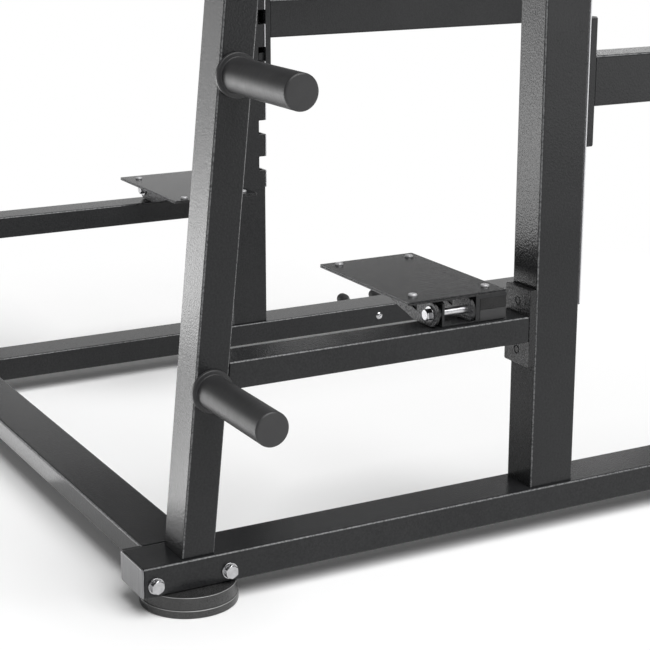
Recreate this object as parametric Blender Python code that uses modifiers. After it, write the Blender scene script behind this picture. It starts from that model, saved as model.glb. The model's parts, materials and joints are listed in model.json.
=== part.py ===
"""Half-open power rack with notched uprights, leaning plate-storage posts and fold-up spotter steps.

Sizes are in metres with +Z up. The rack's front is towards -Y and its left side, seen from the
front, is at -X. The origin is on the floor at the centre of the footprint. Places along the rack
are given as the distance forward from the rear end of the base, and places across it as the
distance inboard from the outer face of the base tubes.
"""

import math

import bmesh
import bpy
from mathutils import Matrix, Vector

# Overall sizes
LENGTH = 1.530
WIDTH = 1.196
HEIGHT = 2.250
GAP = 0.0003
WALL = 0.003
SIDES = {"left": -1, "right": 1}

# Feet and base frame
PAD_RADIUS = 0.0735
PAD_HEIGHT = 0.0122
DISC_RADIUS = 0.072
DISC_HEIGHT = 0.0197
STUD_RADIUS = 0.006
STUD_HEIGHT = 0.020
FOOT_FROM_END = 0.090
BASE_BOTTOM = 0.0325
BASE_WIDE = 0.084
BASE_HIGH = 0.0465
BASE_TOP = BASE_BOTTOM + BASE_HIGH
TUBE_X = WIDTH / 2 - BASE_WIDE / 2
CORNER = 0.004
CAP_THICK = 0.003
REAR_TUBE_FROM_END = 0.0325
REAR_TUBE_WIDE = 0.0855
REAR_TUBE_HIGH = 0.038
REAR_FLANGE_LONG = 0.150
REAR_FLANGE_THICK = 0.006
FLANGE_VENT_RADIUS = 0.012

# Uprights
UPRIGHT_WIDE = 0.068
UPRIGHT_DEEP = 0.0815
UPRIGHT_REAR = 0.678
UPRIGHT_FRONT = UPRIGHT_REAR + UPRIGHT_DEEP
SLANT_WIDE = 0.068
SLANT_DEEP = 0.052
SLANT_FOOT = 0.0919
LEAN = 0.1024  # forward for each metre up
BEAM_HIGH = 0.076
UPRIGHT_TOP = HEIGHT - BEAM_HIGH - GAP

# Notches and the hard strip in front of them
NOTCH_FIRST = 0.4254
NOTCH_PITCH = 0.0768
NOTCH_COUNT = 18
NOTCH_HIGH = 0.030
NOTCH_DEEP = 0.015
NOTCH_WIDE = 0.046
STRIP_THICK = 0.002
STRIP_BOTTOM = 0.374
STRIP_TOP = 1.792
STRIP_REAR = UPRIGHT_FRONT + GAP
STRIP_FRONT = STRIP_REAR + STRIP_THICK

# Hooks that hang in the notches
HOOK_PLATE_REAR = STRIP_FRONT + GAP
TONGUE_HIGH = 0.016
TONGUE_WIDE = 0.0355
TONGUE_INBOARD = 0.0503
LIP_FRONT = UPRIGHT_FRONT - WALL - 0.0005
LIP_THICK = 0.006
LIP_DROP = 0.012

# Spotter arms
ARM_HIGH = 0.078
ARM_TOP = 0.7665
ARM_LONG = 0.740
ARM_HOOK_THICK = 0.012
ARM_HOOK_BOTTOM = 0.626
ARM_HOOK_TOP = 0.826
ARM_NOTCHES = (3, 5)
ARM_STOP_THICK = 0.010
ARM_STOP_RISE = 0.045

# Bar hooks
J_PLATE_THICK = 0.010
J_NOTCHES = (12, 13)
J_BOTTOM = 1.302
J_TOP = 1.454
J_WIDE = 0.050
J_REACH = 0.100
J_THICK = 0.012
J_LIP_HIGH = 0.050
J_LINER = 0.006

# Step beam and its flange on the main upright
STEP_TOP = 0.366
STEP_HIGH = 0.0422
STEP_WIDE = 0.066
STEP_FLANGE_THICK = 0.012
STEP_FLANGE_BOTTOM = 0.282
STEP_FLANGE_TOP = 0.408
STEP_FLANGE_CORNER = 0.003

# Fold-up spotter step
HINGE_INBOARD = 0.033
HINGE_HIGH = 0.3863
PIN_RADIUS = 0.0065
PIN_HOLE = 0.0069
PIN_HEAD_REAR = 0.4872
PIN_HEAD_THICK = 0.008
PIN_FLANGE_RADIUS = 0.0105
PIN_FLANGE_THICK = 0.002
PIN_END = 0.5793
HEAD_RADIUS = 0.0085
TREAD_REAR = 0.4505
TREAD_LONG = 0.177
TREAD_OUTER = 0.020
TREAD_INNER = 0.303
TREAD_THICK = 0.002
CARRIER_BOTTOM = 0.408
CARRIER_THICK = 0.003
RIB_STARTS = (0.4975, 0.5625)
RIB_THICK = 0.005
RIB_RADIUS = 0.020
LUG_STARTS = (0.5115, 0.5725)
LUG_THICK = 0.0045
LUG_RADIUS = 0.021
LUG_OUTER = 0.0205
FOOT_MARGIN = 0.0005
FOOT_NECK = 0.002
BOSS_RADIUS = 0.011
REST_START = 0.5805
REST_LONG = 0.048
REST_INNER = 0.072
REST_SPLIT = 0.385

# Weight horns and band pegs
HORN_FIRST = 0.3282
HORN_PITCH = 0.4464
HORN_COUNT = 4
HORN_RADIUS = 0.02525
HORN_LONG = 0.1941
HORN_FLANGE_RADIUS = 0.032
HORN_FLANGE_THICK = 0.006
HORN_WALL = 0.005
PEG_PLACES = (1.0365, 1.1215)
PEG_HEIGHT = 0.056
PEG_LONG = 0.099
PEG_SHANK = 0.007
PEG_KNOB = 0.013

# Top frame
TOP_BEAM_REAR = 0.265
TOP_BEAM_FRONT = 1.000
TOP_TUBE_HIGH = 0.050
BAR_RADIUS = 0.016
BAR_FROM_REAR = 0.950
BAR_RISE = 0.045
BAR_FLANGE_RADIUS = 0.032
BAR_FLANGE_THICK = 0.006
VENT_RADIUS = 0.008

# Facets
ARC_STEPS = 2
ROUND = 24

CHARCOAL = ("powder_coat", (0.045, 0.046, 0.048, 1.0), 0.0, 0.55)
BRIGHT = ("zinc_plate", (0.62, 0.63, 0.65, 1.0), 1.0, 0.28)
BRUSHED = ("brushed_steel", (0.50, 0.50, 0.51, 1.0), 1.0, 0.38)
BLACK_PLASTIC = ("black_plastic", (0.028, 0.028, 0.030, 1.0), 0.0, 0.42)
SATIN_BLACK = ("satin_black", (0.030, 0.030, 0.032, 1.0), 0.0, 0.38)
RUBBER = ("black_rubber", (0.022, 0.022, 0.023, 1.0), 0.0, 0.70)

X_AXIS = Vector((1, 0, 0))
Y_AXIS = Vector((0, 1, 0))
Z_AXIS = Vector((0, 0, 1))


def forward(distance):
    """Y of a place given as its distance forward from the rear end of the base."""
    return LENGTH / 2 - distance


def inboard(side, distance):
    """X of a place given as its distance inboard from the outer face on that side."""
    return side * (WIDTH / 2 - distance)


def clear_scene():
    for obj in list(bpy.data.objects):
        bpy.data.objects.remove(obj, do_unlink=True)


def new_collection(name):
    collection = bpy.data.collections.new(name)
    bpy.context.scene.collection.children.link(collection)
    return collection


def finish_of(style):
    name, colour, metallic, roughness = style
    made = bpy.data.materials.new(name)
    made.use_nodes = True
    shader = made.node_tree.nodes["Principled BSDF"]
    shader.inputs["Base Color"].default_value = colour
    shader.inputs["Metallic"].default_value = metallic
    shader.inputs["Roughness"].default_value = roughness
    return made


def axes(origin, across, up):
    """Matrix of a flat drawing's plane: its x runs along across, its y along up."""
    out = across.cross(up)
    turned_axes = Matrix((across, up, out)).transposed().to_4x4()
    return Matrix.Translation(origin) @ turned_axes


def rounded(corners, steps=ARC_STEPS):
    """Points of a closed outline through (x, y, radius) corners, each rounded by an arc."""
    points = []
    for index, (x, y, radius) in enumerate(corners):
        corner = Vector((x, y))
        if radius == 0:
            points.append(corner)
            continue
        before = (Vector(corners[index - 1][:2]) - corner).normalized()
        after = (Vector(corners[(index + 1) % len(corners)][:2]) - corner).normalized()
        half = before.angle(after) / 2
        centre = corner + (before + after).normalized() * radius / math.sin(half)
        start = corner + before * radius / math.tan(half) - centre
        sweep = start.angle_signed(corner + after * radius / math.tan(half) - centre)
        for step in range(steps + 1):
            points.append(centre + Matrix.Rotation(-sweep * step / steps, 2) @ start)
    return points


def rectangle(width, height, radius=0.0, centre=(0.0, 0.0)):
    x, y = centre
    half_w, half_h = width / 2, height / 2
    signs = ((-1, -1), (1, -1), (1, 1), (-1, 1))
    return rounded([(x + a * half_w, y + b * half_h, radius) for a, b in signs])


def circle(radius, centre=(0.0, 0.0), count=ROUND):
    turn = 2 * math.pi / count
    return [
        Vector((centre[0] + radius * math.cos(turn * i), centre[1] + radius * math.sin(turn * i)))
        for i in range(count)
    ]


def tube_loops(width, height, wall=WALL):
    """A hollow tube's section: its rounded outside and its bore."""
    bore = rounded_bore(width - 2 * wall, height - 2 * wall)
    return [rectangle(width, height, CORNER), bore]


def rounded_bore(width, height):
    radius = CORNER - WALL
    signs = ((-1, -1), (1, -1), (1, 1), (-1, 1))
    return rounded([(a * width / 2, b * height / 2, radius) for a, b in signs], steps=1)


class Workshop:
    """Makes the rack's pieces and puts each in its collection with its finish."""

    def __init__(self):
        self.parts = new_collection("power_rack")
        self.helpers = new_collection("cutters")
        self.finishes = {}

    def finish(self, style):
        if style[0] not in self.finishes:
            self.finishes[style[0]] = finish_of(style)
        return self.finishes[style[0]]

    def add(self, name, mesh, style, place=None):
        """A piece of the rack, or a hidden cutter where it has no finish."""
        obj = bpy.data.objects.new(name, mesh)
        obj.matrix_world = place or Matrix()
        if style is None:
            self.helpers.objects.link(obj)
            obj.hide_render = True
            obj.display_type = "WIRE"
            return obj
        mesh.materials.append(self.finish(style))
        self.parts.objects.link(obj)
        return obj

    def outline(self, name, loops, depth, style, place):
        """A flat outline with any holes, extruded by half its depth to each side of its plane."""
        curve = bpy.data.curves.new(name, "CURVE")
        curve.dimensions = "2D"
        curve.fill_mode = "BOTH"
        curve.extrude = depth / 2
        for loop in loops:
            spline = curve.splines.new("POLY")
            spline.points.add(len(loop) - 1)
            for point, place_2d in zip(spline.points, loop):
                point.co = (place_2d[0], place_2d[1], 0, 1)
            spline.use_cyclic_u = True
        return self.from_curve(name, curve, style, place)

    def rod(self, name, route, radius, style, place):
        """A round bar along a route of points, with filled ends."""
        curve = bpy.data.curves.new(name, "CURVE")
        curve.dimensions = "3D"
        curve.bevel_depth = radius
        curve.bevel_resolution = 3
        curve.use_fill_caps = True
        spline = curve.splines.new("POLY")
        spline.points.add(len(route) - 1)
        for point, at in zip(spline.points, route):
            point.co = (*at, 1)
        return self.from_curve(name, curve, style, place)

    def from_curve(self, name, curve, style, place):
        guide = bpy.data.objects.new(name + "_guide", curve)
        self.helpers.objects.link(guide)
        graph = bpy.context.evaluated_depsgraph_get()
        mesh = bpy.data.meshes.new_from_object(guide.evaluated_get(graph))
        bpy.data.objects.remove(guide)
        bpy.data.curves.remove(curve)
        close_mesh(mesh)
        mesh.name = name
        return self.add(name, mesh, style, place)

    def cylinder(self, name, radius, length, place, style=None, count=ROUND):
        shape = bmesh.new()
        bmesh.ops.create_cone(
            shape, cap_ends=True, segments=count, radius1=radius, radius2=radius, depth=length
        )
        return self.from_shape(name, shape, style, place)

    def from_shape(self, name, shape, style, place):
        mesh = bpy.data.meshes.new(name)
        shape.to_mesh(mesh)
        shape.free()
        shade(mesh)
        return self.add(name, mesh, style, place)

    def turned(self, name, profile, style, place, count=ROUND):
        """A turned piece about its local Z, from a profile that runs down its outer side."""
        mesh = bpy.data.meshes.new(name)
        edges = [(i, i + 1) for i in range(len(profile) - 1)]
        mesh.from_pydata([(radius, 0, height) for radius, height in profile], edges, [])
        obj = self.add(name, mesh, style, place)
        screw = obj.modifiers.new("turn", "SCREW")
        screw.steps = screw.render_steps = count
        screw.use_merge_vertices = True
        screw.merge_threshold = 0.00005
        screw.use_smooth_shade = True
        return obj


def close_mesh(mesh):
    """Welds a curve's caps to its sides and turns every face outwards."""
    shape = bmesh.new()
    shape.from_mesh(mesh)
    bmesh.ops.remove_doubles(shape, verts=shape.verts, dist=0.000001)
    bmesh.ops.recalc_face_normals(shape, faces=shape.faces)
    shape.to_mesh(mesh)
    shape.free()
    shade(mesh)


def shade(mesh):
    mesh.shade_smooth()
    mesh.set_sharp_from_angle(angle=math.radians(50))


def combine(obj, other, operation):
    step = obj.modifiers.new(operation.lower(), "BOOLEAN")
    step.operation = operation
    step.object = other
    step.solver = "EXACT"


def lean_forward(mesh):
    """Shears a mesh so that it leans forward as it rises from its own origin."""
    mesh.transform(Matrix(((1, 0, 0, 0), (0, 1, -LEAN, 0), (0, 0, 1, 0), (0, 0, 0, 1))))


def notch_height(index):
    return NOTCH_FIRST + index * NOTCH_PITCH


def slant_forward(height):
    """Distance forward of a leaning post's centre line at a height above the floor."""
    return SLANT_FOOT + LEAN * (height - BASE_TOP)


def make_foot(shop, side, name, distance):
    x = inboard(side, BASE_WIDE / 2)
    place = Matrix.Translation((x, forward(distance), 0))
    pad = [(0, PAD_HEIGHT), (PAD_RADIUS, PAD_HEIGHT), (PAD_RADIUS, 0.002)]
    pad += [(PAD_RADIUS - 0.002, 0), (0, 0)]
    shop.turned("foot_pad_" + name, pad, RUBBER, place, count=28)
    bottom = PAD_HEIGHT + GAP
    top = bottom + DISC_HEIGHT
    disc = [(0, top + STUD_HEIGHT), (STUD_RADIUS, top + STUD_HEIGHT), (STUD_RADIUS, top)]
    disc += [(DISC_RADIUS - 0.0015, top), (DISC_RADIUS, top - 0.0015)]
    disc += [(DISC_RADIUS, bottom), (0, bottom)]
    shop.turned("foot_disc_" + name, disc, CHARCOAL, place, count=28)


def make_base_side(shop, name, side):
    x = inboard(side, BASE_WIDE / 2)
    middle = BASE_BOTTOM + BASE_HIGH / 2
    length = LENGTH - 2 * (CAP_THICK + GAP)
    place = axes(Vector((x, 0, middle)), X_AXIS, Z_AXIS)
    tube = shop.outline(
        "base_side_tube_" + name, tube_loops(BASE_WIDE, BASE_HIGH), length, CHARCOAL, place
    )
    for end, distance, cap_y in (
        ("rear", FOOT_FROM_END, LENGTH / 2 - CAP_THICK / 2),
        ("front", LENGTH - FOOT_FROM_END, CAP_THICK / 2 - LENGTH / 2),
    ):
        make_foot(shop, side, f"{end}_{name}", distance)
        hole_at = Matrix.Translation((x, forward(distance), BASE_BOTTOM))
        hole = shop.cylinder(f"stud_hole_{end}_{name}", STUD_RADIUS + 0.0006, 0.02, hole_at)
        combine(tube, hole, "DIFFERENCE")
        cap_place = axes(Vector((x, cap_y, middle)), X_AXIS, Z_AXIS)
        cap = [rectangle(BASE_WIDE, BASE_HIGH, CORNER)]
        shop.outline(f"base_end_cap_{end}_{name}", cap, CAP_THICK, BRUSHED, cap_place)


def make_rear_base_tube(shop):
    """The cross tube with a bolting flange at each end, vented so that its bore stays open."""
    half = WIDTH / 2 - BASE_WIDE - GAP
    middle = BASE_TOP - REAR_TUBE_HIGH / 2
    y = forward(REAR_TUBE_FROM_END + REAR_TUBE_WIDE / 2)
    place = axes(Vector((0, y, middle)), Y_AXIS, Z_AXIS)
    tube = shop.outline(
        "rear_base_tube",
        tube_loops(REAR_TUBE_WIDE, REAR_TUBE_HIGH),
        2 * half - 0.002,
        CHARCOAL,
        place,
    )
    flange_y = forward(REAR_FLANGE_LONG / 2 + CAP_THICK)
    for name, side in SIDES.items():
        x = side * (half - REAR_FLANGE_THICK / 2)
        loops = [rectangle(REAR_FLANGE_LONG, REAR_TUBE_HIGH - 0.003, 0.004)]
        vent = circle(FLANGE_VENT_RADIUS, (y - flange_y, 0), 12)
        flange_place = axes(Vector((x, flange_y, middle)), Y_AXIS, Z_AXIS)
        flange = shop.outline(
            "rear_flange_" + name, loops + [vent], REAR_FLANGE_THICK, None, flange_place
        )
        combine(tube, flange, "UNION")


def make_slanted_upright(shop, name, side):
    height = UPRIGHT_TOP - BASE_TOP - GAP
    bottom = BASE_TOP + GAP
    origin = Vector((inboard(side, BASE_WIDE / 2), forward(SLANT_FOOT), bottom))
    post = shop.outline(
        "slanted_upright_" + name,
        tube_loops(SLANT_WIDE, SLANT_DEEP),
        height,
        CHARCOAL,
        Matrix.Translation(origin),
    )
    post.data.transform(Matrix.Translation((0, 0, height / 2)))
    lean_forward(post.data)


def notch_cutter(shop, name, side):
    """All the notches of one upright as boxes, open towards the front and the inner side."""
    shape = bmesh.new()
    outer = WIDTH / 2 - BASE_WIDE / 2 - UPRIGHT_WIDE / 2 + NOTCH_WIDE
    inner = WIDTH / 2 - BASE_WIDE / 2 - UPRIGHT_WIDE / 2 - 0.002
    rear = UPRIGHT_FRONT - NOTCH_DEEP
    front = STRIP_FRONT + 0.002
    size = Matrix.Diagonal((outer - inner, front - rear, NOTCH_HIGH, 1))
    for index in range(NOTCH_COUNT):
        centre = (side * (outer + inner) / 2, forward((rear + front) / 2), notch_height(index))
        bmesh.ops.create_cube(shape, size=1, matrix=Matrix.Translation(centre) @ size)
    return shop.from_shape("notches_" + name, shape, None, Matrix())


def make_main_upright(shop, name, side):
    x = inboard(side, BASE_WIDE / 2)
    bottom = BASE_TOP + GAP
    middle = (bottom + UPRIGHT_TOP) / 2
    y = forward(UPRIGHT_REAR + UPRIGHT_DEEP / 2)
    post = shop.outline(
        "main_upright_" + name,
        tube_loops(UPRIGHT_WIDE, UPRIGHT_DEEP),
        UPRIGHT_TOP - bottom,
        CHARCOAL,
        Matrix.Translation((x, y, middle)),
    )
    strip_middle = (STRIP_BOTTOM + STRIP_TOP) / 2
    strip_y = forward(STRIP_REAR + STRIP_THICK / 2)
    strip = shop.outline(
        "notch_strip_" + name,
        [rectangle(UPRIGHT_WIDE, STRIP_TOP - STRIP_BOTTOM, 0.002)],
        STRIP_THICK,
        BRUSHED,
        axes(Vector((x, strip_y, strip_middle)), X_AXIS, Z_AXIS),
    )
    cutter = notch_cutter(shop, name, side)
    combine(post, cutter, "DIFFERENCE")
    combine(strip, cutter, "DIFFERENCE")


def make_step_beam(shop, name, side):
    """The low side beam, its rear end cut to the leaning post and its flange on the upright."""
    x = inboard(side, BASE_WIDE / 2)
    middle = STEP_TOP - STEP_HIGH / 2
    rear = slant_forward(middle) + SLANT_DEEP / 2 + GAP
    flange_front = UPRIGHT_REAR - GAP
    flange_rear = flange_front - STEP_FLANGE_THICK
    length = flange_rear + 0.001 - rear
    place = axes(Vector((x, forward(rear + length / 2), middle)), X_AXIS, Z_AXIS)
    beam = shop.outline(
        "step_beam_" + name, tube_loops(STEP_WIDE, STEP_HIGH), length, CHARCOAL, place
    )
    for vertex in beam.data.vertices:
        if vertex.co.z < 0:
            vertex.co.z += LEAN * vertex.co.y
    high = STEP_FLANGE_TOP - STEP_FLANGE_BOTTOM
    centre = (STEP_FLANGE_TOP + STEP_FLANGE_BOTTOM) / 2
    plate = rectangle(UPRIGHT_WIDE, high, STEP_FLANGE_CORNER)
    flange_place = axes(
        Vector((x, forward(flange_rear + STEP_FLANGE_THICK / 2), centre)), X_AXIS, Z_AXIS
    )
    vent = circle(VENT_RADIUS, (0, middle - centre), 12)
    flange = shop.outline(
        "step_flange_" + name, [plate, vent], STEP_FLANGE_THICK, None, flange_place
    )
    combine(beam, flange, "UNION")


def hinge_axes(side, distance):
    """Plane of a step bracket's outline: x is inboard from the hinge, y is up from it."""
    origin = Vector((inboard(side, HINGE_INBOARD), forward(distance), HINGE_HIGH))
    return axes(origin, Vector((-side, 0, 0)), Z_AXIS)


def arc_points(radius, start, end, count):
    """Points on a circle about the hinge, from one angle in degrees to another."""
    angles = [math.radians(start + (end - start) * i / count) for i in range(count + 1)]
    return [(radius * math.cos(angle), radius * math.sin(angle)) for angle in angles]


def lug_outline(top, inner):
    """A fixed lug: flat outside up to the arc that clears the turning step, then a flat top."""
    outer = LUG_OUTER - HINGE_INBOARD
    bottom = STEP_TOP + GAP + FOOT_MARGIN - HINGE_HIGH
    start = 180 - math.degrees(math.acos(-outer / LUG_RADIUS))
    points = [(outer, bottom)]
    points += arc_points(LUG_RADIUS, start, 90, 5)
    points += [(inner - 0.010, top), (inner, bottom)]
    return points


def make_step_bracket(shop, name, side):
    """Two lugs on a foot plate slotted for the front rib, each lug with a boss that meets a rib."""
    inner = 0.066 - HINGE_INBOARD
    bottom = STEP_TOP + GAP
    loops = [lug_outline(LUG_RADIUS, inner), circle(PIN_HOLE)]
    first, last = LUG_STARTS[0] - FOOT_MARGIN, LUG_STARTS[1] + LUG_THICK + FOOT_MARGIN
    outer = LUG_OUTER - HINGE_INBOARD - FOOT_MARGIN
    neck = outer + FOOT_NECK
    far = inner + FOOT_MARGIN
    slot_start, slot_end = RIB_STARTS[1] - 0.0015, RIB_STARTS[1] + RIB_THICK + 0.0015
    plan = [(outer, first), (far, first), (far, slot_start), (neck, slot_start)]
    plan += [(neck, slot_end), (far, slot_end), (far, last), (outer, last)]
    origin = Vector((inboard(side, HINGE_INBOARD), forward(0), bottom + WALL / 2))
    foot_plane = axes(origin, Vector((-side, 0, 0)), -Y_AXIS)
    foot = shop.outline("step_bracket_" + name, [plan], WALL, CHARCOAL, foot_plane)
    for index, start in enumerate(LUG_STARTS):
        plane = hinge_axes(side, start + LUG_THICK / 2)
        lug = shop.outline(f"lug_{index}_{name}", loops, LUG_THICK, None, plane)
        combine(foot, lug, "UNION")
        boss_rear = RIB_STARTS[index] + RIB_THICK + GAP
        boss_long = start + 0.001 - boss_rear
        boss_plane = hinge_axes(side, boss_rear + boss_long / 2)
        ring = [circle(BOSS_RADIUS), circle(PIN_HOLE)]
        boss = shop.outline(f"boss_{index}_{name}", ring, boss_long, None, boss_plane)
        combine(foot, boss, "UNION")


def make_step_pin(shop, name, side):
    """The hinge bolt: a flanged hexagon head behind the rear rib and a plain shank."""
    head_front = PIN_HEAD_REAR + PIN_HEAD_THICK
    flange_front = head_front + PIN_FLANGE_THICK
    origin = Vector((inboard(side, HINGE_INBOARD), forward(flange_front), HINGE_HIGH))
    place = axes(origin, X_AXIS, Z_AXIS)
    length = PIN_END - flange_front
    shank = [(0, length), (PIN_RADIUS - 0.001, length), (PIN_RADIUS, length - 0.001)]
    shank += [(PIN_RADIUS, 0), (PIN_FLANGE_RADIUS, 0)]
    shank += [(PIN_FLANGE_RADIUS, -PIN_FLANGE_THICK), (0, -PIN_FLANGE_THICK)]
    pin = shop.turned("step_pin_" + name, shank, BRIGHT, place)
    head_middle = PIN_HEAD_REAR + PIN_HEAD_THICK / 2 + 0.0005
    head_origin = Vector((origin.x, forward(head_middle), HINGE_HIGH))
    head = shop.cylinder(
        "pin_head_" + name,
        HEAD_RADIUS,
        PIN_HEAD_THICK + 0.001,
        axes(head_origin, X_AXIS, Z_AXIS),
        count=6,
    )
    combine(pin, head, "UNION")


def make_step_rest(shop, name, side):
    """The riser on the beam and the pad on it, which carry the step when it is down."""
    outer = LUG_OUTER - HINGE_INBOARD
    inner = REST_INNER - HINGE_INBOARD
    bottom = STEP_TOP + GAP - HINGE_HIGH
    split = REST_SPLIT - HINGE_HIGH
    top = CARRIER_BOTTOM - GAP - HINGE_HIGH
    plane = hinge_axes(side, REST_START + REST_LONG / 2)
    riser = [(outer, bottom), (outer, split), (inner, split), (inner, bottom)]
    shop.outline("step_rest_riser_" + name, [riser], REST_LONG, CHARCOAL, plane)
    start = 180 - math.degrees(math.acos(-outer / LUG_RADIUS))
    pad = [(outer, split + GAP), *arc_points(LUG_RADIUS, start, 90, 5)]
    pad += [(0.004, top), (inner - 0.003, top), (inner, top - 0.003), (inner, split + GAP)]
    shop.outline("step_rest_pad_" + name, [pad], REST_LONG, RUBBER, plane)


def rib_outline():
    """A step rib: an eye round the hinge that runs out into a tapering arm under the plate."""
    top = CARRIER_BOTTOM + 0.001 - HINGE_HIGH
    tip = 0.255 - HINGE_INBOARD
    knee = 0.080 - HINGE_INBOARD
    points = [(tip, top - 0.001), (tip - 0.004, top), (0, top)]
    points += arc_points(RIB_RADIUS, 90, 270, 10)
    return points + [(knee, -RIB_RADIUS)]


def rib_window():
    """The three-cornered lightening hole between a rib's eye and its tip."""
    near = 0.072 - HINGE_INBOARD
    far = 0.156 - HINGE_INBOARD
    low, high = 0.3828 - HINGE_HIGH, 0.4035 - HINGE_HIGH
    corners = [(near, low, 0.002), (far, high, 0.001), (near, high, 0.002)]
    return rounded(corners, steps=2)


def make_step(shop, name, side):
    """The moving step: a carrier plate on two ribs and the tread plate on top."""
    x = inboard(side, (TREAD_OUTER + TREAD_INNER) / 2)
    y = forward(TREAD_REAR + TREAD_LONG / 2)
    plate = [rectangle(TREAD_INNER - TREAD_OUTER, TREAD_LONG, 0.003)]
    middle = CARRIER_BOTTOM + CARRIER_THICK / 2
    hinge = Vector((inboard(side, HINGE_INBOARD), forward(PIN_HEAD_REAR), HINGE_HIGH))
    carrier = shop.outline(
        "step_carrier_" + name, plate, CARRIER_THICK, CHARCOAL, Matrix.Translation((x, y, middle))
    )
    set_origin(carrier, hinge)
    for index, start in enumerate(RIB_STARTS):
        plane = hinge_axes(side, start + RIB_THICK / 2)
        loops = [rib_outline(), rib_window(), circle(PIN_HOLE)]
        rib = shop.outline(f"rib_{index}_{name}", loops, RIB_THICK, None, plane)
        combine(carrier, rib, "UNION")
    tread_middle = CARRIER_BOTTOM + CARRIER_THICK + GAP + TREAD_THICK / 2
    tread = shop.outline(
        "step_tread_" + name, plate, TREAD_THICK, CHARCOAL, Matrix.Translation((x, y, tread_middle))
    )
    set_origin(tread, hinge)


def set_origin(obj, place):
    """Moves an unrotated object's origin without moving its mesh."""
    shift = obj.matrix_world.translation - place
    obj.data.transform(Matrix.Translation(shift))
    obj.matrix_world = Matrix.Translation(place)


def tongue_outline(height):
    """One hook in a notch, seen from the side: x is forward from the plate, y is up."""
    front = 0.002
    lip_front = LIP_FRONT - HOOK_PLATE_REAR
    lip_rear = lip_front - LIP_THICK
    bottom = height - NOTCH_HIGH / 2 + GAP
    top = bottom + TONGUE_HIGH
    corners = [(front, bottom, 0), (lip_front, bottom, 0.001), (lip_front, bottom - LIP_DROP, 0.001)]
    corners += [(lip_rear, bottom - LIP_DROP, 0.002), (lip_rear, top, 0.003), (front, top, 0)]
    return rounded(corners, steps=2)


def side_axes(x):
    """Plane of a hook's side view: its x is forward from the hook plate's back, its y is up."""
    return axes(Vector((x, forward(HOOK_PLATE_REAR), 0)), -Y_AXIS, Z_AXIS)


def add_tongues(shop, plate, name, side, notches):
    for index in notches:
        tongue = shop.outline(
            f"tongue_{index}_{name}",
            [tongue_outline(notch_height(index))],
            TONGUE_WIDE,
            None,
            side_axes(inboard(side, TONGUE_INBOARD)),
        )
        combine(plate, tongue, "UNION")


def make_spotter_arm(shop, name, side):
    x = inboard(side, BASE_WIDE / 2)
    plate_front = HOOK_PLATE_REAR + ARM_HOOK_THICK
    plate_y = forward(HOOK_PLATE_REAR + ARM_HOOK_THICK / 2)
    plate_middle = (ARM_HOOK_BOTTOM + ARM_HOOK_TOP) / 2
    plate = shop.outline(
        "arm_hook_" + name,
        [rectangle(UPRIGHT_WIDE, ARM_HOOK_TOP - ARM_HOOK_BOTTOM, 0.004)],
        ARM_HOOK_THICK,
        CHARCOAL,
        axes(Vector((x, plate_y, plate_middle)), X_AXIS, Z_AXIS),
    )
    add_tongues(shop, plate, name, side, ARM_NOTCHES)
    middle = ARM_TOP - ARM_HIGH / 2
    rear = plate_front + GAP
    tube = shop.outline(
        "arm_tube_" + name,
        tube_loops(UPRIGHT_WIDE, ARM_HIGH),
        ARM_LONG,
        CHARCOAL,
        axes(Vector((x, forward(rear + ARM_LONG / 2), middle)), X_AXIS, Z_AXIS),
    )
    half = UPRIGHT_WIDE / 2
    low, high = -ARM_HIGH / 2, ARM_HIGH / 2 + ARM_STOP_RISE
    stop = rounded([(-half, low, 0.004), (half, low, 0.004), (half, high, 0.014), (-half, high, 0.014)])
    stop_y = forward(rear + ARM_LONG - 0.001 + ARM_STOP_THICK / 2)
    stop_plate = shop.outline(
        "arm_stop_" + name,
        [stop],
        ARM_STOP_THICK,
        None,
        axes(Vector((x, stop_y, middle)), X_AXIS, Z_AXIS),
    )
    combine(tube, stop_plate, "UNION")


def j_outline():
    """The bar hook's steel, seen from the side: a shelf with an upturned, rounded front lip."""
    back = J_PLATE_THICK - 0.002
    front = J_PLATE_THICK + J_REACH
    floor = J_BOTTOM + J_THICK
    top = floor + J_LIP_HIGH
    corners = [(back, J_BOTTOM, 0), (front, J_BOTTOM, 0.016), (front, top, 0.005)]
    corners += [(front - J_THICK, top, 0.005), (front - J_THICK, floor, 0.006), (back, floor, 0)]
    return rounded(corners, steps=4)


def j_liner_outline():
    """The plastic liner in the bar hook: up the back, along the floor and up the lip."""
    back = J_PLATE_THICK + GAP
    front = J_PLATE_THICK + J_REACH - J_THICK - GAP
    floor = J_BOTTOM + J_THICK + GAP
    rear_top = floor + 0.075
    lip_top = floor + J_LIP_HIGH + 0.004
    liner = J_LINER
    corners = [(back, floor, 0.001), (front, floor, 0.0065), (front, lip_top, 0.002)]
    corners += [(front - liner, lip_top, 0.002), (front - liner, floor + liner, 0.010)]
    corners += [(back + liner, floor + liner, 0.010), (back + liner, rear_top, 0.002)]
    corners += [(back, rear_top, 0.001)]
    return rounded(corners, steps=3)


def make_bar_hook(shop, name, side):
    x = inboard(side, BASE_WIDE / 2)
    plate_y = forward(HOOK_PLATE_REAR + J_PLATE_THICK / 2)
    plate = shop.outline(
        "bar_hook_" + name,
        [rectangle(UPRIGHT_WIDE, J_TOP - J_BOTTOM, 0.005)],
        J_PLATE_THICK,
        CHARCOAL,
        axes(Vector((x, plate_y, (J_TOP + J_BOTTOM) / 2)), X_AXIS, Z_AXIS),
    )
    shelf = shop.outline("shelf_" + name, [j_outline()], J_WIDE, None, side_axes(x))
    combine(plate, shelf, "UNION")
    add_tongues(shop, plate, "j_" + name, side, J_NOTCHES)
    shop.outline(
        "bar_hook_liner_" + name, [j_liner_outline()], J_WIDE, BLACK_PLASTIC, side_axes(x)
    )


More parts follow.
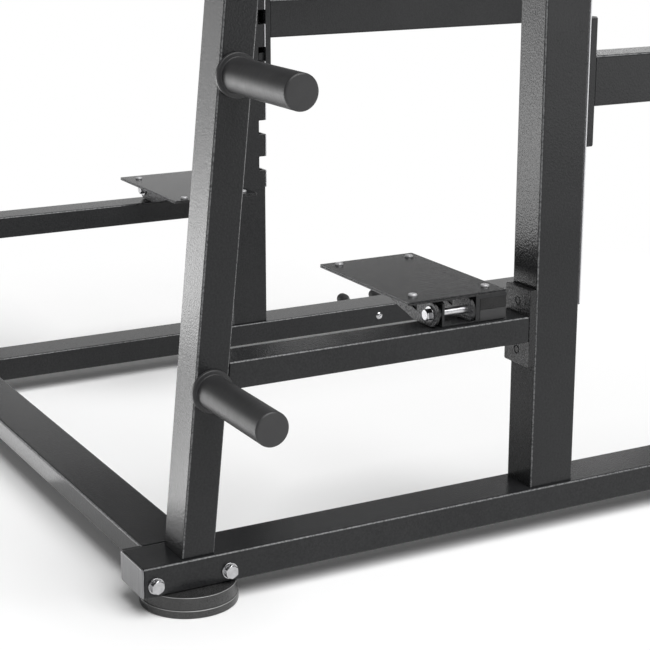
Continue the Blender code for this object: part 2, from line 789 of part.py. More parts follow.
def outward(side, distance, height, start):
    """Placement of a turned piece whose axis points outwards from the rack's side."""
    origin = Vector((side * start, forward(distance), height))
    return Matrix.Translation(origin) @ Matrix.Rotation(side * math.pi / 2, 4, "Y")


def make_weight_horn(shop, name, side, height):
    face = TUBE_X + SLANT_WIDE / 2 + GAP
    radius = HORN_RADIUS
    profile = [(0, HORN_LONG), (radius - 0.003, HORN_LONG), (radius - 0.0008, HORN_LONG - 0.0008)]
    profile += [(radius, HORN_LONG - 0.003), (radius, HORN_FLANGE_THICK)]
    profile += [(HORN_FLANGE_RADIUS - 0.0015, HORN_FLANGE_THICK)]
    profile += [(HORN_FLANGE_RADIUS, HORN_FLANGE_THICK - 0.0015), (HORN_FLANGE_RADIUS, 0)]
    profile += [(radius - HORN_WALL, 0), (radius - HORN_WALL, HORN_LONG - HORN_WALL)]
    profile += [(0, HORN_LONG - HORN_WALL)]
    place = outward(side, slant_forward(height), height, face)
    shop.turned(name, profile, SATIN_BLACK, place)


def make_band_peg(shop, name, side, distance):
    """A band peg: a thin shank that swells to a round-ended knob."""
    profile = [(0, PEG_LONG)]
    for step in range(1, 4):
        angle = math.radians(30 * step)
        profile.append((PEG_KNOB * math.sin(angle), PEG_LONG - PEG_KNOB * (1 - math.cos(angle))))
    profile += [(PEG_KNOB, PEG_LONG - 0.024), (PEG_SHANK, 0.046), (PEG_SHANK, 0.003)]
    profile += [(PEG_SHANK + 0.004, 0.003), (PEG_SHANK + 0.004, 0), (0, 0)]
    place = outward(side, distance, PEG_HEIGHT, WIDTH / 2 + GAP)
    shop.turned(name, profile, SATIN_BLACK, place, count=16)


def make_top_side_beam(shop, name, side):
    """The top beam with closed ends, vented into the two uprights below it."""
    x = inboard(side, BASE_WIDE / 2)
    middle = HEIGHT - BEAM_HIGH / 2
    length = TOP_BEAM_FRONT - TOP_BEAM_REAR
    centre_y = forward((TOP_BEAM_FRONT + TOP_BEAM_REAR) / 2)
    place = axes(Vector((x, centre_y, middle)), X_AXIS, Z_AXIS)
    beam = shop.outline(
        "top_side_beam_" + name,
        [rectangle(UPRIGHT_WIDE, BEAM_HIGH, CORNER)],
        length,
        CHARCOAL,
        place,
    )
    bore = [rounded_bore(UPRIGHT_WIDE - 2 * WALL, BEAM_HIGH - 2 * WALL)]
    hollow = shop.outline("top_bore_" + name, bore, length - 2 * WALL, None, place)
    combine(beam, hollow, "DIFFERENCE")
    for index, distance in enumerate(
        (slant_forward(UPRIGHT_TOP), UPRIGHT_REAR + UPRIGHT_DEEP / 2)
    ):
        vent_at = Matrix.Translation((x, forward(distance), HEIGHT - BEAM_HIGH))
        vent = shop.cylinder(f"vent_{index}_{name}", VENT_RADIUS, 0.02, vent_at, count=12)
        combine(beam, vent, "DIFFERENCE")


def make_rear_top_tube(shop):
    half = WIDTH / 2 - BASE_WIDE / 2 - UPRIGHT_WIDE / 2 - GAP
    y = forward(slant_forward(UPRIGHT_TOP) + 0.008)
    place = axes(Vector((0, y, HEIGHT - BEAM_HIGH / 2)), Y_AXIS, Z_AXIS)
    loops = tube_loops(UPRIGHT_WIDE, TOP_TUBE_HIGH)
    shop.outline("rear_top_tube", loops, 2 * half, CHARCOAL, place)


def pull_up_route(half):
    """The bar's centre line: low ends, two rounded bends and a raised middle."""
    bend_start, bend_end = 0.075, 0.150
    left = [(-half, 0), (-half + bend_start, 0), (-half + bend_end, BAR_RISE), (0, BAR_RISE)]
    route = [Vector(left[0])]
    for before, corner, after in zip(left, left[1:], left[2:]):
        start = Vector(corner).lerp(Vector(before), 0.030 / math.dist(before, corner))
        end = Vector(corner).lerp(Vector(after), 0.030 / math.dist(after, corner))
        for step in range(5):
            t = step / 4
            route.append(start * (1 - t) ** 2 + 2 * t * (1 - t) * Vector(corner) + end * t * t)
    mirrored = [Vector((-x, rise)) for x, rise in reversed(route)]
    return [(x, 0, rise) for x, rise in route + mirrored]


def make_pull_up_bar(shop):
    half = WIDTH / 2 - BASE_WIDE / 2 - UPRIGHT_WIDE / 2 - GAP
    origin = Vector((0, forward(BAR_FROM_REAR), HEIGHT - BEAM_HIGH / 2))
    route = pull_up_route(half - 0.002)
    bar = shop.rod("pull_up_bar", route, BAR_RADIUS, BRIGHT, Matrix.Translation(origin))
    for name, side in SIDES.items():
        place = outward(side, BAR_FROM_REAR, origin.z, half - BAR_FLANGE_THICK / 2)
        flange = shop.cylinder("bar_flange_" + name, BAR_FLANGE_RADIUS, BAR_FLANGE_THICK, place)
        combine(bar, flange, "UNION")


def main():
    clear_scene()
    shop = Workshop()
    make_rear_base_tube(shop)
    make_rear_top_tube(shop)
    make_pull_up_bar(shop)
    for name, side in SIDES.items():
        make_base_side(shop, name, side)
        make_slanted_upright(shop, name, side)
        make_main_upright(shop, name, side)
        make_step_beam(shop, name, side)
        make_step_bracket(shop, name, side)
        make_step_pin(shop, name, side)
        make_step_rest(shop, name, side)
        make_step(shop, name, side)
        make_spotter_arm(shop, name, side)
        make_bar_hook(shop, name, side)
        make_top_side_beam(shop, name, side)
        for index in range(HORN_COUNT):
            height = HORN_FIRST + index * HORN_PITCH
            make_weight_horn(shop, f"weight_horn_{name}_{index + 1}", side, height)
        for index, distance in enumerate(PEG_PLACES, 1):
            make_band_peg(shop, f"band_peg_{name}_{index}", side, distance)


main()
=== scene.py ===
"""Looks of the power rack: fine surfaces over its solids, its finishes, a white studio and the camera.

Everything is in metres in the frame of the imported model. Places along the rack are given as the
distance forward from the rear end of the base, and places across it as the distance inboard from
the outer face of the base tubes. All paired pieces are worked out for the left side and mirrored.
"""

import json
import math

import bpy
import numpy as np
from mathutils import Matrix, Vector


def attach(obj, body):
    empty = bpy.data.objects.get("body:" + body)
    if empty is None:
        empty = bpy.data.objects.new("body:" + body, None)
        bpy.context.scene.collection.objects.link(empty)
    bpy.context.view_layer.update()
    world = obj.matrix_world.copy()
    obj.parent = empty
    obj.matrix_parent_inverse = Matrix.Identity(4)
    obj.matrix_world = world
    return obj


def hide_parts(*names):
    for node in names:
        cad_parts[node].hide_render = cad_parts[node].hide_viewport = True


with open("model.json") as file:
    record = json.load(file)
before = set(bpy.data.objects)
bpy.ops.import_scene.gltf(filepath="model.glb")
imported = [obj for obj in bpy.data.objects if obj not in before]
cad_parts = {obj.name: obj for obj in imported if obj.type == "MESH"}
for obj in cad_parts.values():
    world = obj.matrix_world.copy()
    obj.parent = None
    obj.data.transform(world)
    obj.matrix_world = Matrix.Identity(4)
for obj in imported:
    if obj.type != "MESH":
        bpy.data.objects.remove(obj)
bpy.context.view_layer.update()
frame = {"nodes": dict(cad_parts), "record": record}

# Overall sizes, as in the part
HALF_LENGTH = 0.765
HALF_WIDTH = 0.598
BASE_WIDTH = 0.084
BASE_HEIGHT = 0.0465
BASE_TOP = 0.079
POST_WIDTH = 0.068
MIDDLE = 0.042  # of the base tubes and posts, inboard of the outer face
UPRIGHT_REAR = 0.678
UPRIGHT_FRONT = 0.7595
UPRIGHT_TOP = 2.1737
HOOK_REAR = 0.7621  # the rear face of the hooks' plates, just in front of the upright's strip
SLANT_FOOT = 0.0919  # where the leaning posts stand
LEAN = 0.1024  # how far forward they go for each metre up
TOP_MIDDLE = 2.212
HINGE = (0.033, 0.3863)  # inboard and height of the step's bolt
HINGE_REACH = 0.0125  # from the bolt to the outer faces of the lugs and of the rest
LUG_RADIUS = 0.021  # of their rounded tops, about the bolt
RIBS = (0.4975, 0.5625)  # the rear faces of the step's ribs
RIB_THICK = 0.005
NOTCH_COUNT = 18
NOTCH_FIRST = 0.4254
NOTCH_PITCH = 0.0768
NOTCH_HEIGHT = 0.030
ARM_NOTCHES = (3, 5)  # those that hold a spotter arm, counted up from 0
BAR_NOTCHES = (12, 13)
GAP = 0.0003  # between pieces that stand against each other
CORNER = 0.004  # outer radius of a tube's section
EDGE = 0.0006  # rounding of cut edges
SIDES = ("left", "right")

X_AXIS = np.array((1.0, 0.0, 0.0))
Y_AXIS = np.array((0.0, 1.0, 0.0))
Z_AXIS = np.array((0.0, 0.0, 1.0))


def at(inboard, forward, height):
    """A place on the left half: how far inboard, how far forward of the rear end, how high."""
    return np.array((inboard - HALF_WIDTH, HALF_LENGTH - forward, height))


def notch_height(index):
    """The height of a notch's middle, counted from the lowest one, 0."""
    return NOTCH_FIRST + index * NOTCH_PITCH


def slant_forward(height):
    """How far forward a leaning post's centre line is at a height."""
    return SLANT_FOOT + LEAN * (height - BASE_TOP)


# Surfaces


class Surface:
    """Points and faces of one closed skin, or of several that make one piece."""

    def __init__(self, points, faces, edge):
        self.points = points
        self.faces = faces
        self.edge = edge

    def __add__(self, other):
        moved = [[corner + len(self.points) for corner in face] for face in other.faces]
        points = np.concatenate((self.points, other.points))
        return Surface(points, self.faces + moved, np.concatenate((self.edge, other.edge)))

    def mirrored(self):
        """The same skin on the other side: x changes sign and each face runs the other way round."""
        return Surface(self.points * (-1, 1, 1), [face[::-1] for face in self.faces], self.edge)

    def mesh(self, name):
        """The surface as a mesh, with the amount of edge at each point kept as an attribute."""
        mesh = bpy.data.meshes.new(name)
        mesh.from_pydata(self.points, [], self.faces)
        mesh.attributes.new("edge", "FLOAT", "POINT").data.foreach_set("value", self.edge)
        return mesh


def skin(rows, closed=False, edge=0.0):
    """A grid of points whose rows each close on themselves, joined row to row by four-sided faces.

    rows[j, i] is the point at step j along the path and step i round the section. The two end rows
    get a flat cap each, or the last row joins the first one where the grid is closed.
    """
    count, around = rows.shape[:2]
    numbers = np.arange(count * around).reshape(count, around)
    start = numbers if closed else numbers[:-1]
    end = np.roll(numbers, -1, axis=0) if closed else numbers[1:]
    quads = (start, np.roll(start, -1, axis=1), np.roll(end, -1, axis=1), end)
    faces = np.stack(quads, axis=-1).reshape(-1, 4).tolist()
    if not closed:
        faces += [numbers[0, ::-1].tolist(), numbers[-1].tolist()]
    return Surface(rows.reshape(-1, 3), faces, np.broadcast_to(edge, (count, around)).ravel())


def outline(corners, steps):
    """A closed outline through (x, y, radius) corners that run anticlockwise, each rounded.

    With the outward normals m and n of the sides that meet there, and s = 1 at an outer corner or
    -1 at an inner one, the arc's centre is corner - s r (m + n) / (1 + m.n), and its points are
    centre + s r times the unit vector that turns from m to n in equal steps.
    """
    corners = np.array(corners, float)
    places, radius = corners[:, :2], corners[:, 2:]
    ahead = np.roll(places, -1, axis=0) - places
    ahead /= np.linalg.norm(ahead, axis=1, keepdims=True)
    after = np.stack((ahead[:, 1], -ahead[:, 0]), axis=1)
    before = np.roll(after, 1, axis=0)
    dot = (before * after).sum(axis=1)
    turn = np.arctan2(before[:, 0] * after[:, 1] - before[:, 1] * after[:, 0], dot)
    outer = np.sign(turn)[:, None]
    centre = places - outer * radius * (before + after) / (1 + dot)[:, None]
    angle = np.arctan2(before[:, 1], before[:, 0])[:, None] + turn[:, None] * np.linspace(0, 1, steps + 1)
    arcs = np.stack((np.cos(angle), np.sin(angle)), axis=-1) * (outer * radius)[:, :, None]
    return (centre[:, None] + arcs).reshape(-1, 2)


def rectangle(width, height, radius=CORNER, centre=(0, 0), steps=6):
    """A rounded rectangle's outline: four outer corners at half its width and height."""
    x, y = centre
    signs = ((-1, -1), (1, -1), (1, 1), (-1, 1))
    return outline([(x + a * width / 2, y + b * height / 2, radius) for a, b in signs], steps)


def inset(loop, amount):
    """The outline moved inwards, each point by amount (m + n) / (1 + m.n) against its sides' normals."""
    ahead = np.roll(loop, -1, axis=0) - loop
    ahead /= np.linalg.norm(ahead, axis=1, keepdims=True)
    after = np.stack((ahead[:, 1], -ahead[:, 0]), axis=1)
    before = np.roll(after, 1, axis=0)
    dot = (before * after).sum(axis=1, keepdims=True)
    return loop - amount * (before + after) / (1 + dot)


def corner_lines(loop):
    """1 at the middle points of an outline's rounded corners, and 0 elsewhere.

    A point counts as round where both its sides are short and the outline turns left there by more
    than 9 degrees, and as the middle of a corner where its two neighbours are round too.
    """
    ahead = np.roll(loop, -1, axis=0) - loop
    behind = np.roll(ahead, 1, axis=0)
    length, last = np.hypot(*ahead.T), np.hypot(*behind.T)
    turn = (behind[:, 0] * ahead[:, 1] - behind[:, 1] * ahead[:, 0]) / (length * last + 1e-12)
    rounded = (np.maximum(length, last) < 0.0025) & (turn > math.sin(math.radians(9)))
    return (rounded & np.roll(rounded, 1) & np.roll(rounded, -1)).astype(float)


def edge_steps(length, edge, count=4):
    """Stations along a length whose two ends are rounded by a quarter circle, with the inset at each."""
    turn = np.linspace(0, math.pi / 2, count)
    along, inwards = edge * (1 - np.cos(turn)), edge * (1 - np.sin(turn))
    return np.concatenate((along, length - along[::-1])), np.concatenate((inwards, inwards[::-1]))


def carried(loop, start, end, across, up, edge=EDGE, start_up=None):
    """An outline carried straight from start to end, with rounded end edges.

    A point is start + (end - start) t + x across + y up, where (x, y) runs round the outline and t
    from 0 to 1. Where start_up is given, the up direction turns from it to up along the way.
    """
    travel = end - start
    length = np.linalg.norm(travel)
    along, inwards = edge_steps(length, edge)
    first_up = up if start_up is None else start_up
    rows = []
    for station, amount in zip(along, inwards):
        share, section = station / length, inset(loop, amount)
        turned_up = first_up + (up - first_up) * share
        rows.append(start + travel * share + section[:, :1] * across + section[:, 1:] * turned_up)
    # lines along the rounded edges, where the finishes put edge wear and a painted highlight
    wear_and_highlight = np.tile(corner_lines(loop), (len(rows), 1))
    wear_and_highlight[[0, -1]] = 0
    return skin(np.array(rows), edge=wear_and_highlight)


def plate(loop, centre, across, up, thick, edge=EDGE):
    """An outline on the plane of across and up, carried half its thickness to each side."""
    out = np.cross(across, up) * thick / 2
    return carried(loop, centre - out, centre + out, across, up, edge)


def pierced_plate(loop, hole, centre, across, up, thick, edge=EDGE):
    """A plate with one hole: rows run over the outer edge, across one face, through the hole and back.

    Each point of the hole's edge lies on the line from the hole's middle to the matching outer point,
    at the distance that the hole's own outline has in that direction.
    """
    along, inwards = edge_steps(thick, edge)
    out = np.cross(across, up)
    middle = (hole.min(axis=0) + hole.max(axis=0)) / 2
    rays = loop - middle
    angle = np.arctan2(rays[:, 1], rays[:, 0])

    def hole_edge(grown):
        spokes = inset(hole, -grown) - middle
        turned_to = np.arctan2(spokes[:, 1], spokes[:, 0])
        reach = np.interp(angle, *zip(*sorted(zip(turned_to, np.hypot(*spokes.T)))), period=2 * math.pi)
        return middle + np.stack((np.cos(angle), np.sin(angle)), axis=1) * reach[:, None]

    flat = [inset(loop, amount) for amount in inwards] + [hole_edge(amount) for amount in inwards[::-1]]
    depth = np.concatenate((along, along[::-1])) - thick / 2
    rows = [centre + xy[:, :1] * across + xy[:, 1:] * up + d * out for xy, d in zip(flat, depth)]
    return skin(np.array(rows), closed=True)


def turned(profile, foot, axis, count):
    """A turned piece: a profile of (radius, height, rounding) corners revolved about an axis.

    The profile starts and ends on the axis and runs up its outer side.
    """
    steps = 5
    whole = outline(profile, steps)
    shown = slice(steps + 1, -(steps + 1))
    return revolved(whole[shown], foot, axis, count, corner_lines(whole)[shown, None])


def round_turn(count):
    """Equal steps round a full turn, in radians."""
    return np.arange(count) * 2 * math.pi / count


def rings(reach, heights, foot, axis, edge=0.0):
    """Rings about an axis, with a flat cap on the first and the last.

    reach[j, i] is how far ring j goes out in direction i, and heights[j] is how far it is along the
    axis from the foot. A point is foot + height axis + reach (cos a, sin a), across the axis.
    """
    side = np.cross(axis, Z_AXIS if abs(axis[2]) < 0.9 else X_AXIS)
    side /= np.linalg.norm(side)
    angle = round_turn(reach.shape[1])[:, None]
    spokes = np.cos(angle) * side + np.sin(angle) * np.cross(axis, side)
    return skin(foot + heights[:, None, None] * axis + reach[:, :, None] * spokes, edge=edge)


def disc(radius, heights, edges, foot, axis, count=64):
    """A turned disc from one height to another, whose lower and upper edges are rounded."""
    (low, high), (low_edge, high_edge) = heights, edges
    profile = [(0, low, 0), (radius, low, low_edge), (radius, high, high_edge), (0, high, 0)]
    return turned(profile, foot, axis, count)


def revolved(half, foot, axis, count, edge=0.0):
    """Rows of (radius, height) revolved about an axis, with a flat cap at each end."""
    return rings(np.repeat(half[:, :1], count, axis=1), half[:, 1], foot, axis, edge)


def hexagon_reach(angle, across_flats):
    """Distance from a hexagon's middle to its side at an angle: half its width over the cosine
    of the angle from the nearest side's middle."""
    return across_flats / 2 / np.cos((angle + math.pi / 6) % (math.pi / 3) - math.pi / 6)


def hexagon_head(foot, axis, across_flats, height):
    """A bolt head: a hexagon whose top corners are turned off by a 30 degree cone.

    At each height the distance from the axis is the smaller of the hexagon's and the cone's.
    """
    rounding, cone_height, cone_rows = 0.0004, 0.0018, 9
    low = edge_steps(height, rounding, 3)[0][:3]
    heights = np.concatenate((low, np.linspace(height - cone_height, height, cone_rows)))
    shrunk = np.concatenate((rounding - low, np.zeros(cone_rows)))[:, None]
    cone = across_flats * 0.475 + (height - heights[:, None]) * math.sqrt(3)
    reach = np.minimum(hexagon_reach(round_turn(96), across_flats), cone) - shrunk
    return rings(reach, heights, foot, axis)


def button_head(foot, axis, radius, height, socket, flat=0.0):
    """A low screw head with a hexagonal socket, domed or flat over a share of its radius.

    Rings rise over the quarter of an ellipse, close in from the circle to the socket's hexagon, and
    drop down its walls to its floor.
    """
    rim = 0.0006
    rise = np.linspace(0, math.radians(90 if flat else 62), 9)
    dome = radius * (flat + (1 - flat) * np.cos(rise))
    dome_heights = rim + (height - rim) * np.sin(rise) / math.sin(rise[-1])
    foot_edge, mouth = 0.0002, 0.0003
    outside = np.concatenate(((radius - foot_edge, radius), dome))
    wall = hexagon_reach(round_turn(72), socket)
    reach = [np.full_like(wall, size) for size in outside] + [wall + mouth, wall, wall, wall * 0.2]
    socket_heights = (height, height - mouth, height * 0.4, height * 0.35)
    heights = np.concatenate(((0, rim / 2), dome_heights, socket_heights))
    return rings(np.array(reach), heights, foot, axis)


def bent_rod(route, radius, count=40):
    """A round bar with flat ends, along a route in the plane of X and Z.

    A point is route + radius (cos a n - sin a Y), where n is the route's tangent turned a quarter
    turn in that plane.
    """
    tangent = np.gradient(route, axis=0)
    tangent /= np.linalg.norm(tangent, axis=1, keepdims=True)
    normal = np.stack((-tangent[:, 2], np.zeros(len(route)), tangent[:, 0]), axis=1)
    angle = round_turn(count)[:, None]
    rows = route[:, None] + radius * (np.cos(angle) * normal[:, None] - np.sin(angle) * Y_AXIS)
    return skin(rows)


# Finishes


class Value:
    """A number that changes over a surface. Its operators add Math nodes."""

    def __init__(self, finish, socket):
        self.finish = finish
        self.socket = socket

    def maths(self, operation, first, second):
        """A Math node on two values or numbers."""
        return self.finish.node("ShaderNodeMath", {"operation": operation}, {0: first, 1: second})

    def __add__(self, other):
        return self.maths("ADD", self, other)

    def __sub__(self, other):
        return self.maths("SUBTRACT", self, other)

    def __mul__(self, other):
        return self.maths("MULTIPLY", self, other)


class Finish:
    """One material, built node by node."""

    def __init__(self, name):
        self.material = bpy.data.materials.new(name)
        self.material.use_nodes = True
        self.tree = self.material.node_tree
        self.shader = self.tree.nodes["Principled BSDF"]
        self.place = self.node("ShaderNodeTexCoord", {}, {}, "Object")

    def node(self, kind, settings, inputs, output=0):
        """Adds a node: its settings first, then the values or links of its sockets."""
        made = self.tree.nodes.new(kind)
        for key, value in settings.items():
            setattr(made, key, value)
        for key, value in inputs.items():
            if isinstance(value, Value):
                self.tree.links.new(value.socket, made.inputs[key])
            else:
                made.inputs[key].default_value = value
        return Value(self, made.outputs[output])

    def stretched(self, scale):
        """The place on the piece, scaled along each axis."""
        return self.node("ShaderNodeMapping", {}, {"Vector": self.place, "Scale": scale})

    def noise(self, scale, detail, place=None, roughness=0.5):
        """Soft random patches, so many to a metre, around 0.5."""
        inputs = {"Vector": place or self.place, "Scale": scale, "Detail": detail, "Roughness": roughness}
        return self.node("ShaderNodeTexNoise", {"noise_dimensions": "3D"}, inputs, "Fac")

    def between(self, value, low, high, new_low=0.0, new_high=1.0):
        """The value carried from one range to another and held at its ends."""
        inputs = {"Value": value, "From Min": low, "From Max": high, "To Min": new_low, "To Max": new_high}
        return self.node("ShaderNodeMapRange", {"clamp": True}, inputs, "Result")

    def size(self, value):
        """The value without its sign."""
        return value.maths("ABSOLUTE", value, 0.0)

    def blend(self, amount, first, second):
        """One colour turning into another as the amount goes from 0 to 1."""
        inputs = {"Factor": amount, 6: (*first, 1), 7: (*second, 1)}
        return self.node("ShaderNodeMix", {"data_type": "RGBA"}, inputs, 2)

    def facing(self, axis, low, high):
        """0 to 1 as the surface turns from low to high along an axis of the piece."""
        normal = self.node("ShaderNodeTexCoord", {}, {}, "Normal")
        return self.between(self.node("ShaderNodeSeparateXYZ", {}, {0: normal}, axis), low, high)

    def bump(self, height, strength, distance):
        """A surface raised by the height value, up to a distance."""
        inputs = {"Height": height, "Strength": strength, "Distance": distance}
        return self.node("ShaderNodeBump", {}, inputs, "Normal")

    def rounded_edge_lines(self):
        """1 in the middle of a piece's rounded edges and 0 on its faces, as its mesh says."""
        return self.node("ShaderNodeAttribute", {"attribute_name": "edge"}, {}, "Fac")

    def set(self, **inputs):
        """Links or sets the shader's own sockets, whose names have _ for a space."""
        for key, value in inputs.items():
            socket = self.shader.inputs[key.replace("_", " ")]
            if isinstance(value, Value):
                self.tree.links.new(value.socket, socket)
            else:
                socket.default_value = value
        return self.material


def grey(level, blue=1.0):
    """A grey with a little more or less blue."""
    return (level, level, level * blue)


def powder_coat(name, rim):
    """Charcoal powder coat: fine orange peel, and rounded edges lightened where they don't face down,
    partly as wear and partly as a painted highlight.

    The rim is how strong a painted highlight the faces across the rack, which face the rear, get.
    """
    finish = Finish(name)
    grain = finish.noise(330.0, 1.5)
    mottle = finish.noise(300.0, 3.0, roughness=0.65)
    clouds = finish.noise(9.0, 2.0)
    lift = finish.between(mottle * 0.75 + clouds * 0.25, 0.36, 0.64, 0.0, 0.06)
    # edge lines lightened partly as wear and partly as a painted highlight, only where they don't face
    # down, as light from above falls
    edge = finish.rounded_edge_lines()
    painted_highlight_side = finish.facing("Z", -0.4, -0.05)
    wear_and_highlight = edge * edge * edge * finish.between(mottle, 0.38, 0.58, 0.25, 1.0) * painted_highlight_side
    # random mottling, the edges' wear and painted highlight, and a painted highlight on the rear-facing
    # faces as strong as rim
    paler = lift + wear_and_highlight + finish.facing("Y", 0.3, 0.8) * rim
    return finish.set(
        Base_Color=finish.blend(paler, (0.012, 0.0124, 0.0132), (0.17, 0.172, 0.175)),
        Roughness=finish.between(mottle, 0.35, 0.65, 0.17, 0.25),
        Normal=finish.bump(grain, 0.8, 0.0004),
        Specular_IOR_Level=0.26,
    )


def coarse_coat(name, dark, pale):
    """The same charcoal coat, thicker, with pale speckles painted only on the faces across the rack, which
    face the rear: a painted glinting highlight.
    """
    finish = Finish(name)
    grain = finish.noise(330.0, 2.0, roughness=0.6)
    speckle = finish.noise(480.0, 2.0)
    # painted highlight: the pale speckles show only on the rear-facing faces
    tone = finish.between(speckle, 0.40, 0.62) * finish.facing("Y", 0.4, 0.8)
    return finish.set(
        Base_Color=finish.blend(tone, grey(dark, 1.05), grey(pale, 1.05)),
        Roughness=finish.between(grain, 0.35, 0.65, 0.24, 0.34),
        Normal=finish.bump(grain, 1.0, 0.0014),
        Specular_IOR_Level=0.4,
    )


def satin_black():
    """Satin black paint on the horns and pegs, with faint rub marks round them."""
    finish = Finish("satin_black")
    grain = finish.noise(900.0, 2.0)
    clouds = finish.noise(22.0, 3.0)
    rubbed = finish.noise(1.0, 4.0, finish.stretched((260.0, 40.0, 40.0)))
    tone = finish.between(clouds * 0.6 + rubbed * 0.4, 0.35, 0.65)
    return finish.set(
        Base_Color=finish.blend(tone, (0.022, 0.022, 0.023), (0.031, 0.031, 0.032)),
        Roughness=finish.between(rubbed, 0.35, 0.65, 0.42, 0.50),
        Normal=finish.bump(grain, 0.18, 0.0002),
    )


def zinc_plate(name, dark, pale, smooth, dull, metal=1.0):
    """Zinc on bolts, pins and screws: cool metal with cloudy patches, from smooth to dull."""
    finish = Finish(name)
    clouds = finish.noise(160.0, 3.0)
    fine = finish.noise(1500.0, 1.0)
    tone = finish.between(clouds, 0.35, 0.65)
    return finish.set(
        Base_Color=finish.blend(tone, grey(dark, 1.02), grey(pale, 1.02)),
        Metallic=metal,
        Roughness=finish.between(clouds, 0.3, 0.7, smooth, dull),
        Normal=finish.bump(fine, 0.08, 0.0001),
    )


def brushed_steel(name, dark, pale, metal):
    """Brushed steel: long fine scratches up and down the plate, from a dark tone to a pale one."""
    finish = Finish(name)
    scratch = finish.noise(1.0, 3.0, finish.stretched((1500.0, 1500.0, 22.0)), 0.6)
    broad = finish.noise(1.0, 2.0, finish.stretched((420.0, 420.0, 9.0)))
    tone = finish.between(scratch * 0.7 + broad * 0.3, 0.32, 0.68)
    return finish.set(
        Base_Color=finish.blend(tone, grey(dark, 1.02), grey(pale, 1.02)),
        Metallic=metal,
        Roughness=finish.between(tone, 0.0, 1.0, 0.40, 0.30),
        Normal=finish.bump(scratch, 0.25, 0.0001),
    )


def black_rubber(name, dark, pale, gloss):
    """Moulded black rubber with a fine pitted skin, a little dust, and a painted highlight along its
    rounded rims that don't face down.
    """
    finish = Finish(name)
    pits = finish.noise(1100.0, 2.0)
    dust = finish.between(finish.noise(60.0, 4.0), 0.4, 0.7, 0.0, pale - dark)
    edge = finish.rounded_edge_lines()
    # painted highlight along the rounded rims that don't face down
    rim = edge * edge * finish.facing("Z", -0.4, 0.2) * 0.25
    return finish.set(
        Base_Color=finish.blend(dust + rim, grey(dark), grey(1.0 + dark)),
        Roughness=finish.between(pits, 0.3, 0.7, 0.24, 0.32),
        Normal=finish.bump(pits, 0.15, 0.0002),
        Specular_IOR_Level=gloss,
    )


def black_plastic():
    """Moulded black plastic of the bar hooks' liners, scuffed lightly by the bar."""
    finish = Finish("black_plastic")
    pits = finish.noise(800.0, 2.0)
    scuffs = finish.noise(1.0, 4.0, finish.stretched((900.0, 60.0, 60.0)))
    tone = finish.between(scuffs, 0.5, 0.75)
    return finish.set(
        Base_Color=finish.blend(tone, (0.014, 0.014, 0.015), (0.034, 0.034, 0.035)),
        Roughness=finish.between(scuffs, 0.4, 0.7, 0.36, 0.55),
        Normal=finish.bump(pits, 0.15, 0.0002),
    )


FINISHES = {
    "powder_coat": powder_coat("powder_coat", 0.0),
    # the step's top, painted with a highlight on its rear-facing faces
    "coat_with_rear_highlight": powder_coat("coat_with_rear_highlight", 1.3),
    "coarse_coat": coarse_coat("coarse_coat", 0.012, 0.060),
    # brighter painted glints on the rear-facing faces, used on the step's ribs
    "coarse_coat_bright_glints": coarse_coat("coarse_coat_bright_glints", 0.012, 0.150),
    "satin_black": satin_black(),
    "zinc_plate": zinc_plate("zinc_plate", 0.43, 0.52, 0.13, 0.20),
    "soft_zinc": zinc_plate("soft_zinc", 0.52, 0.62, 0.27, 0.36),
    "dull_zinc": zinc_plate("dull_zinc", 0.50, 0.60, 0.30, 0.42, 0.40),
    "brushed_steel": brushed_steel("brushed_steel", 0.19, 0.30, 1.0),
    "worn_steel": brushed_steel("worn_steel", 0.50, 0.62, 0.2),
    "black_rubber": black_rubber("black_rubber", 0.028, 0.038, 0.55),
    "dull_rubber": black_rubber("dull_rubber", 0.014, 0.020, 0.22),
    "black_plastic": black_plastic(),
}
for member in frame["record"]["subparts"]:
    solid = frame["nodes"][member["node"]]
    solid.data.materials.clear()
    solid.data.materials.append(FINISHES[member["material_slot"]])


# Pieces


def placed(name, data):
    """A new object in the scene."""
    obj = bpy.data.objects.new(name, data)
    bpy.context.scene.collection.objects.link(obj)
    return obj


def piece(name, surface, slot, nodes=(), coat=None, body="frame"):
    """Puts a surface into the scene, gives it its finish and lets it move with its body."""
    mesh = surface.mesh(name)
    mesh.materials.append(FINISHES[coat or slot])
    obj = placed(name, mesh)
    soften(obj)
    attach(obj, body)
    if nodes:
        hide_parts(*nodes)


def soften(obj):
    """Smooth rounded edges beside faces that stay flat."""
    obj.data.shade_smooth()
    obj.data.set_sharp_from_angle(angle=math.radians(38))
    flat = obj.modifiers.new("flat_faces", "WEIGHTED_NORMAL")
    flat.keep_sharp = True


def pair(name, surface, slot, nodes=(), coat=None, body="frame"):
    """The piece and its mirror image. {side} in the names stands for left or right."""
    for side, shape in zip(SIDES, (surface, surface.mirrored())):
        names = [node.format(side=side) for node in nodes]
        piece(name.format(side=side), shape, slot, names, coat, body.format(side=side))


def without(surface, cutter):
    """The surface with the cutter's space taken out of it."""
    blank, tool = placed("blank", surface.mesh("blank")), placed("cutter", cutter.mesh("cutter"))
    step = blank.modifiers.new("cut", "BOOLEAN")
    step.operation = "DIFFERENCE"
    step.solver = "EXACT"
    step.object = tool
    graph = bpy.context.evaluated_depsgraph_get()
    mesh = bpy.data.meshes.new_from_object(blank.evaluated_get(graph))
    points = np.empty(len(mesh.vertices) * 3)
    mesh.vertices.foreach_get("co", points)
    edge = np.empty(len(mesh.vertices))
    mesh.attributes["edge"].data.foreach_get("value", edge)
    faces = [list(polygon.vertices) for polygon in mesh.polygons]
    for obj in (blank, tool):
        bpy.data.objects.remove(obj, do_unlink=True)
    return Surface(points.reshape(-1, 3), faces, edge)


